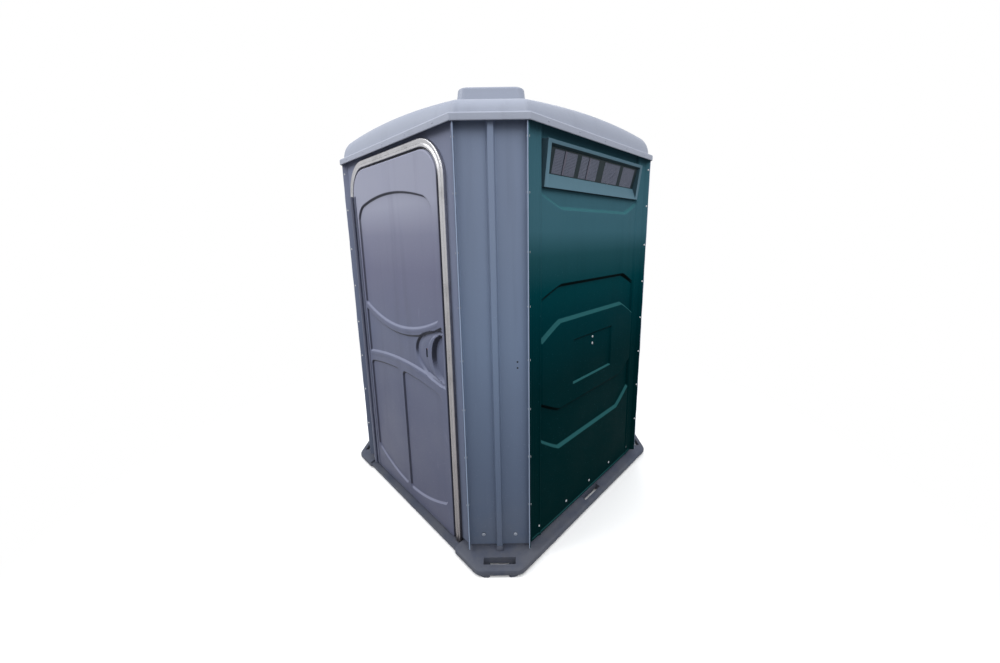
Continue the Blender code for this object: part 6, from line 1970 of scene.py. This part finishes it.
    def foot_loops(self, plan_at: Callable[[float], list[Vector]], under: BVHTree) -> list[list[Vector]]:
        """The flared foot of a raised form, down onto the dome.

        Args:
            plan_at: The form's outline for an inset.
            under: The dome.

        Returns:
            The loops from the foot upwards.
        """
        loops = []
        for outset, lift in self.flare:
            loop = []
            for point in lifted(plan_at(-outset), self.cast_from):
                hit = under.ray_cast(point, Vector((0.0, 0.0, -1.0)))[0]
                loop.append(Vector((point.x, point.y, (hit.z if hit else self.hood_root) + lift)))
            loops.append(loop)
        return loops

    def hood_form(self, under: BVHTree) -> Form:
        """The open hood with its flared foot.

        Args:
            under: The dome.

        Returns:
            The hood.
        """
        root = self.hood_root + self.flare_height
        loops = self.foot_loops(lambda inward: self.hood_plan(inward, root), under)
        for share in (0.25, 0.5, 0.75, 1.0):
            height = lerp(self.hood_root + 0.05, self.hood_top - self.hood_round, share)
            target = self.hood_plan(0.0, height)
            loops.append([Vector((p.x, p.y, lerp(low.z, height, share)))
                          for p, low in zip(target, loops[len(self.flare) - 1])])
        for angle in quarter_turn(0.0, 7)[1:]:
            inward, drop = self.hood_round * (1 - math.cos(angle)), self.hood_round * (1 - math.sin(angle))
            plan = self.hood_plan(inward, self.hood_top - self.hood_round)
            loops.append(lifted(plan, self.hood_top - drop))
        form = skin_loops(loops, caps=(False, True))
        face_out(form)
        return form

    def boss_form(self, under: BVHTree) -> Form:
        """The boss round the vent pipe.

        Args:
            under: The dome.

        Returns:
            The boss.
        """
        def plan_at(inward: float) -> list[Vector]:
            """The boss's outline."""
            return [self.pipe_spot + p for p in ring(self.boss_radius - inward, 32)]

        wall = self.boss_radius - self.pipe_hole
        rings = ((0.0, -0.004), (0.001, -0.0015), (0.0035, 0.0), (wall - 0.001, 0.0), (wall, -0.001),
                 (wall, -self.hole_depth))
        loops = self.foot_loops(plan_at, under)
        loops += [lifted(plan_at(inward), self.boss_top + drop) for inward, drop in rings]
        return skin_loops(loops, closed=True)

    def build(self) -> None:
        """Make the shell, the hood and the boss."""
        outer = self.outer_loops()
        face = skin_loops(outer, caps=(False, True))
        under = BVHTree.FromBMesh(face)
        face.free()
        form = skin_loops(self.inner_loops()[::-1] + outer, caps=(True, True))
        bmesh.ops.recalc_face_normals(form, faces=form.faces[:])
        hood, boss = self.hood_form(under), self.boss_form(under)
        shell = object_of("roof_shell", form)
        square = [self.pipe_spot + p for p in box_plan(self.pipe_hole, self.pipe_hole)]
        cutters = [self.cutter(self.hood_plan(0.006, self.hood_root + self.flare_height)),
                   self.cutter(rounded_plan(square, self.pipe_hole * 0.98, 8))]
        for cutter in cutters:
            step = shell.modifiers.new("opening", "BOOLEAN")
            step.operation, step.solver, step.object = "DIFFERENCE", "EXACT", cutter
        SHOP.settle(shell, FINISHES.roof, Body.CABIN, Slot.ROOF, ["roof"])
        for cutter in cutters:
            bpy.data.objects.remove(cutter)
        SHOP.put("roof_hood", hood, FINISHES.roof, Body.CABIN, Slot.ROOF, wall=0.0030)
        SHOP.put("roof_pipe_boss", boss, FINISHES.roof, Body.CABIN, Slot.ROOF)
        self.rivet()

    def cutter(self, plan: Sequence[Vector]) -> bpy.types.Object:
        """Make a prism that opens the shell under a raised form.

        Args:
            plan: Its outline.

        Returns:
            The prism.
        """
        form = skin_loops([lifted(plan, height) for height in self.cutter_span], caps=(True, True))
        bmesh.ops.recalc_face_normals(form, faces=form.faces[:])
        return object_of("cutter", form)

    def rivet(self) -> None:
        """Set five rivets along each side of the brim."""
        rivets = Rivets()
        outward = Matrix.Rotation(math.pi / 2, 4, "Y")
        for quarter in range(4):
            turn = Matrix.Rotation(quarter * math.pi / 2, 4, "Z")
            for index in range(5):
                along = lerp(-self.rivet_half, self.rivet_half, index / 4)
                rivets.add(at(turn, self.brim_half, along, self.rivet_height) @ outward, 0.7)
        rivets.put("brim_rivets", Body.CABIN, Slot.ROOF, FINISHES.roof)


@dataclass
class KeptNodes:
    """The nodes that keep their shape and get their finish here."""

    def build(self) -> None:
        """Dress every kept node."""
        f = FINISHES
        starts = {
            f.base: ("base",), f.frame: ("front_frame",), f.door: ("door_inner_skin",),
            f.hinge: ("hinge_frame_plate", "hinge_leaf_plate", "hinge_pin"),
            f.steel: ("latch_backing_plate", "latch_keeper", "door_inner_pull", "seat_hinge_mount",
                      "pipe_clamp", "paper_holder", "coat_hook"),
            f.spindle: ("latch_spindle",), f.latch: ("latch_lever",), f.bar: ("grab_bar",),
            f.tank: ("holding_tank",), f.seat: ("seat_ring",), f.pipe: ("vent_pipe",),
            f.paper: ("paper_roll",), f.screw: ("corner_foot_screw",),
        }
        for node in sorted(frame["nodes"]):
            for finish, names in starts.items():
                if node.startswith(names):
                    FINISHER.dress(node, finish)
        low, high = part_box("indicator_disc")
        # The free sector's green is kept very dark: painted shade inside the window.
        FINISHER.dress("indicator_disc", Sign("indicator_sectors", tuple((low + high) / 2),
                                              (0.004, 0.022, 0.014), (0.35, 0.015, 0.015)))


# Floor, light and camera


@dataclass
class Studio:
    """A plain pale floor, soft light and the camera at the photograph's viewpoint."""

    eye: tuple[float, float, float] = (1.703, -1.613, 1.537)
    yaw: float = -44.84
    pitch: float = 10.71
    roll: float = -0.84
    focal: float = 347.4
    principal: tuple[float, float] = (510.2, 302.3)
    image: tuple[float, float] = (1000.0, 663.0)
    lamps: tuple[tuple[str, tuple[float, float, float], float, float], ...] = (
        ("key_lamp", (-2.2, -4.8, 5.0), 2.6, 160.0),
        ("fill_lamp", (4.2, -1.6, 5.0), 2.6, 92.0),
        ("back_lamp", (-3.0, 4.6, 4.6), 2.8, 60.0),
    )
    aim: tuple[float, float, float] = (0.0, 0.0, 1.0)
    sensor: float = 36.0
    near_clip: float = 0.05
    sky_colour: Colour = (0.97, 0.985, 1.0)
    sky_ramp: tuple[tuple[str, float], ...] = (("From Min", -0.05), ("From Max", 0.85),
                                               ("To Min", 0.24), ("To Max", 1.70))
    floor_half: float = 40.0
    floor_drop: float = 0.0005
    floor_fade: Span = (1.15, 2.60)

    def build(self) -> None:
        """Make the whole studio."""
        self.build_camera()
        self.build_world()
        self.build_floor()
        for name, spot, size, power in self.lamps:
            self.build_lamp(name, Vector(spot), size, power)
        bpy.context.scene.view_settings.view_transform = "Standard"
        LOG.info("made the studio")

    def build_camera(self) -> None:
        """Make the camera, solved from the photograph."""
        yaw, pitch, roll = (math.radians(a) for a in (self.yaw, self.pitch, self.roll))
        ahead = Vector((math.sin(yaw) * math.cos(pitch), math.cos(yaw) * math.cos(pitch), -math.sin(pitch)))
        right = Vector((math.cos(yaw), -math.sin(yaw), 0.0))
        up = right.cross(ahead)
        across = math.cos(roll) * right + math.sin(roll) * up
        upward = -math.sin(roll) * right + math.cos(roll) * up
        lens = bpy.data.cameras.new("photo_camera")
        camera = stand("photo_camera", lens)
        camera.matrix_world = Matrix(((across.x, upward.x, -ahead.x, self.eye[0]),
                                      (across.y, upward.y, -ahead.y, self.eye[1]),
                                      (across.z, upward.z, -ahead.z, self.eye[2]), (0, 0, 0, 1)))
        width, height = self.image
        lens.sensor_width = self.sensor
        lens.lens = self.focal / width * lens.sensor_width
        lens.shift_x = (width / 2 - self.principal[0]) / width
        lens.shift_y = (self.principal[1] - height / 2) / width
        lens.clip_start = self.near_clip
        bpy.context.scene.camera = camera

    @staticmethod
    def seen_directly(tree: bpy.types.NodeTree) -> Socket:
        """Whether a ray comes from the camera, a reflection or a transmission.

        Args:
            tree: The node tree that asks.

        Returns:
            1 for such a ray, else 0.
        """
        path = tree.nodes.new("ShaderNodeLightPath")
        total = path.outputs["Is Camera Ray"]
        for name in ("Is Glossy Ray", "Is Transmission Ray"):
            node = tree.nodes.new("ShaderNodeMath")
            node.operation = "MAXIMUM"
            tree.links.new(total, node.inputs[0])
            tree.links.new(path.outputs[name], node.inputs[1])
            total = node.outputs["Value"]
        return total

    def build_world(self) -> None:
        """White where it is seen, a soft sky for the light that it gives."""
        world = bpy.data.worlds.new("soft_sky")
        bpy.context.scene.world = world
        world.use_nodes = True
        tree = world.node_tree
        tree.nodes.clear()
        add = tree.nodes.new
        output, mix = add("ShaderNodeOutputWorld"), add("ShaderNodeMixShader")
        seen, sky = add("ShaderNodeBackground"), add("ShaderNodeBackground")
        seen.inputs["Color"].default_value = (1.0, 1.0, 1.0, 1.0)
        seen.inputs["Strength"].default_value = 1.0
        where, parts = add("ShaderNodeTexCoord"), add("ShaderNodeSeparateXYZ")
        span = add("ShaderNodeMapRange")
        tree.links.new(where.outputs["Generated"], parts.inputs["Vector"])
        tree.links.new(parts.outputs["Z"], span.inputs["Value"])
        for name, value in self.sky_ramp:
            span.inputs[name].default_value = value
        tree.links.new(span.outputs["Result"], sky.inputs["Strength"])
        sky.inputs["Color"].default_value = (*self.sky_colour, 1.0)
        tree.links.new(self.seen_directly(tree), mix.inputs["Fac"])
        tree.links.new(sky.outputs["Background"], mix.inputs[1])
        tree.links.new(seen.outputs["Background"], mix.inputs[2])
        tree.links.new(mix.outputs["Shader"], output.inputs["Surface"])

    def build_floor(self) -> None:
        """A wide pale floor that keeps the cabin's shadow and turns white away from it."""
        form = bmesh.new()
        bmesh.ops.create_grid(form, x_segments=8, y_segments=8, size=self.floor_half)
        floor = object_of("floor", form)
        floor.location = (0.0, 0.0, -self.floor_drop)
        bench = Bench("floor_pale")
        near, far = bench.add("ShaderNodeBsdfDiffuse"), bench.add("ShaderNodeEmission")
        grain = bench.span(bench.noise(3.0, 4.0), 0.3, 0.7, 0.0, 0.04)
        bench.join(bench.blend(grain, (0.94, 0.94, 0.94), (0.90, 0.90, 0.90)), near.inputs["Color"])
        bench.feed(far, Color=(1.0, 1.0, 1.0, 1.0), Strength=1.0)
        flat = bench.add("ShaderNodeVectorMath", operation="LENGTH")
        bench.join(bench.where, flat.inputs[0])
        spread, pick = bench.add("ShaderNodeMixShader"), bench.add("ShaderNodeMixShader")
        bench.join(bench.span(flat.outputs["Value"], *self.floor_fade), spread.inputs["Fac"])
        bench.join(near.outputs["BSDF"], spread.inputs[1])
        bench.join(far.outputs["Emission"], spread.inputs[2])
        bench.feed(bench.shader, Base_Color=(0.15, 0.15, 0.155, 1.0), Roughness=0.9, Specular_IOR_Level=0.1)
        bench.join(self.seen_directly(bench.tree), pick.inputs["Fac"])
        bench.join(bench.shader.outputs["BSDF"], pick.inputs[1])
        bench.join(spread.outputs["Shader"], pick.inputs[2])
        bench.join(pick.outputs["Shader"], bench.output.inputs["Surface"])
        floor.data.materials.append(bench.made)

    def build_lamp(self, name: str, spot: Vector, size: float, power: float) -> None:
        """Make a large soft lamp that looks at the cabin.

        Args:
            name: The lamp's name.
            spot: Where it stands.
            size: Width of its face.
            power: Its power in watts.
        """
        light = bpy.data.lights.new(name, "AREA")
        light.energy, light.size = power, size
        lamp = stand(name, light)
        lamp.location = spot
        lamp.rotation_euler = (Vector(self.aim) - spot).to_track_quat("-Z", "Y").to_euler()


def main() -> None:
    """Build the cabin piece by piece, then the studio."""
    logging.basicConfig(level=logging.INFO, format="%(name)s: %(message)s")
    Studio().build()
    for side in (Side.RIGHT, Side.BACK, Side.LEFT):
        WallPanel(side).build()
        VentUnit(side).build()
    for corner in Corner:
        CornerPanel(corner).build()
    Doorway().build()
    DoorLeaf().build()
    Roof().build()
    KeptNodes().build()
    LOG.info("%d pieces made", len(SHOP.made))


if __name__ == "__main__":
    main()
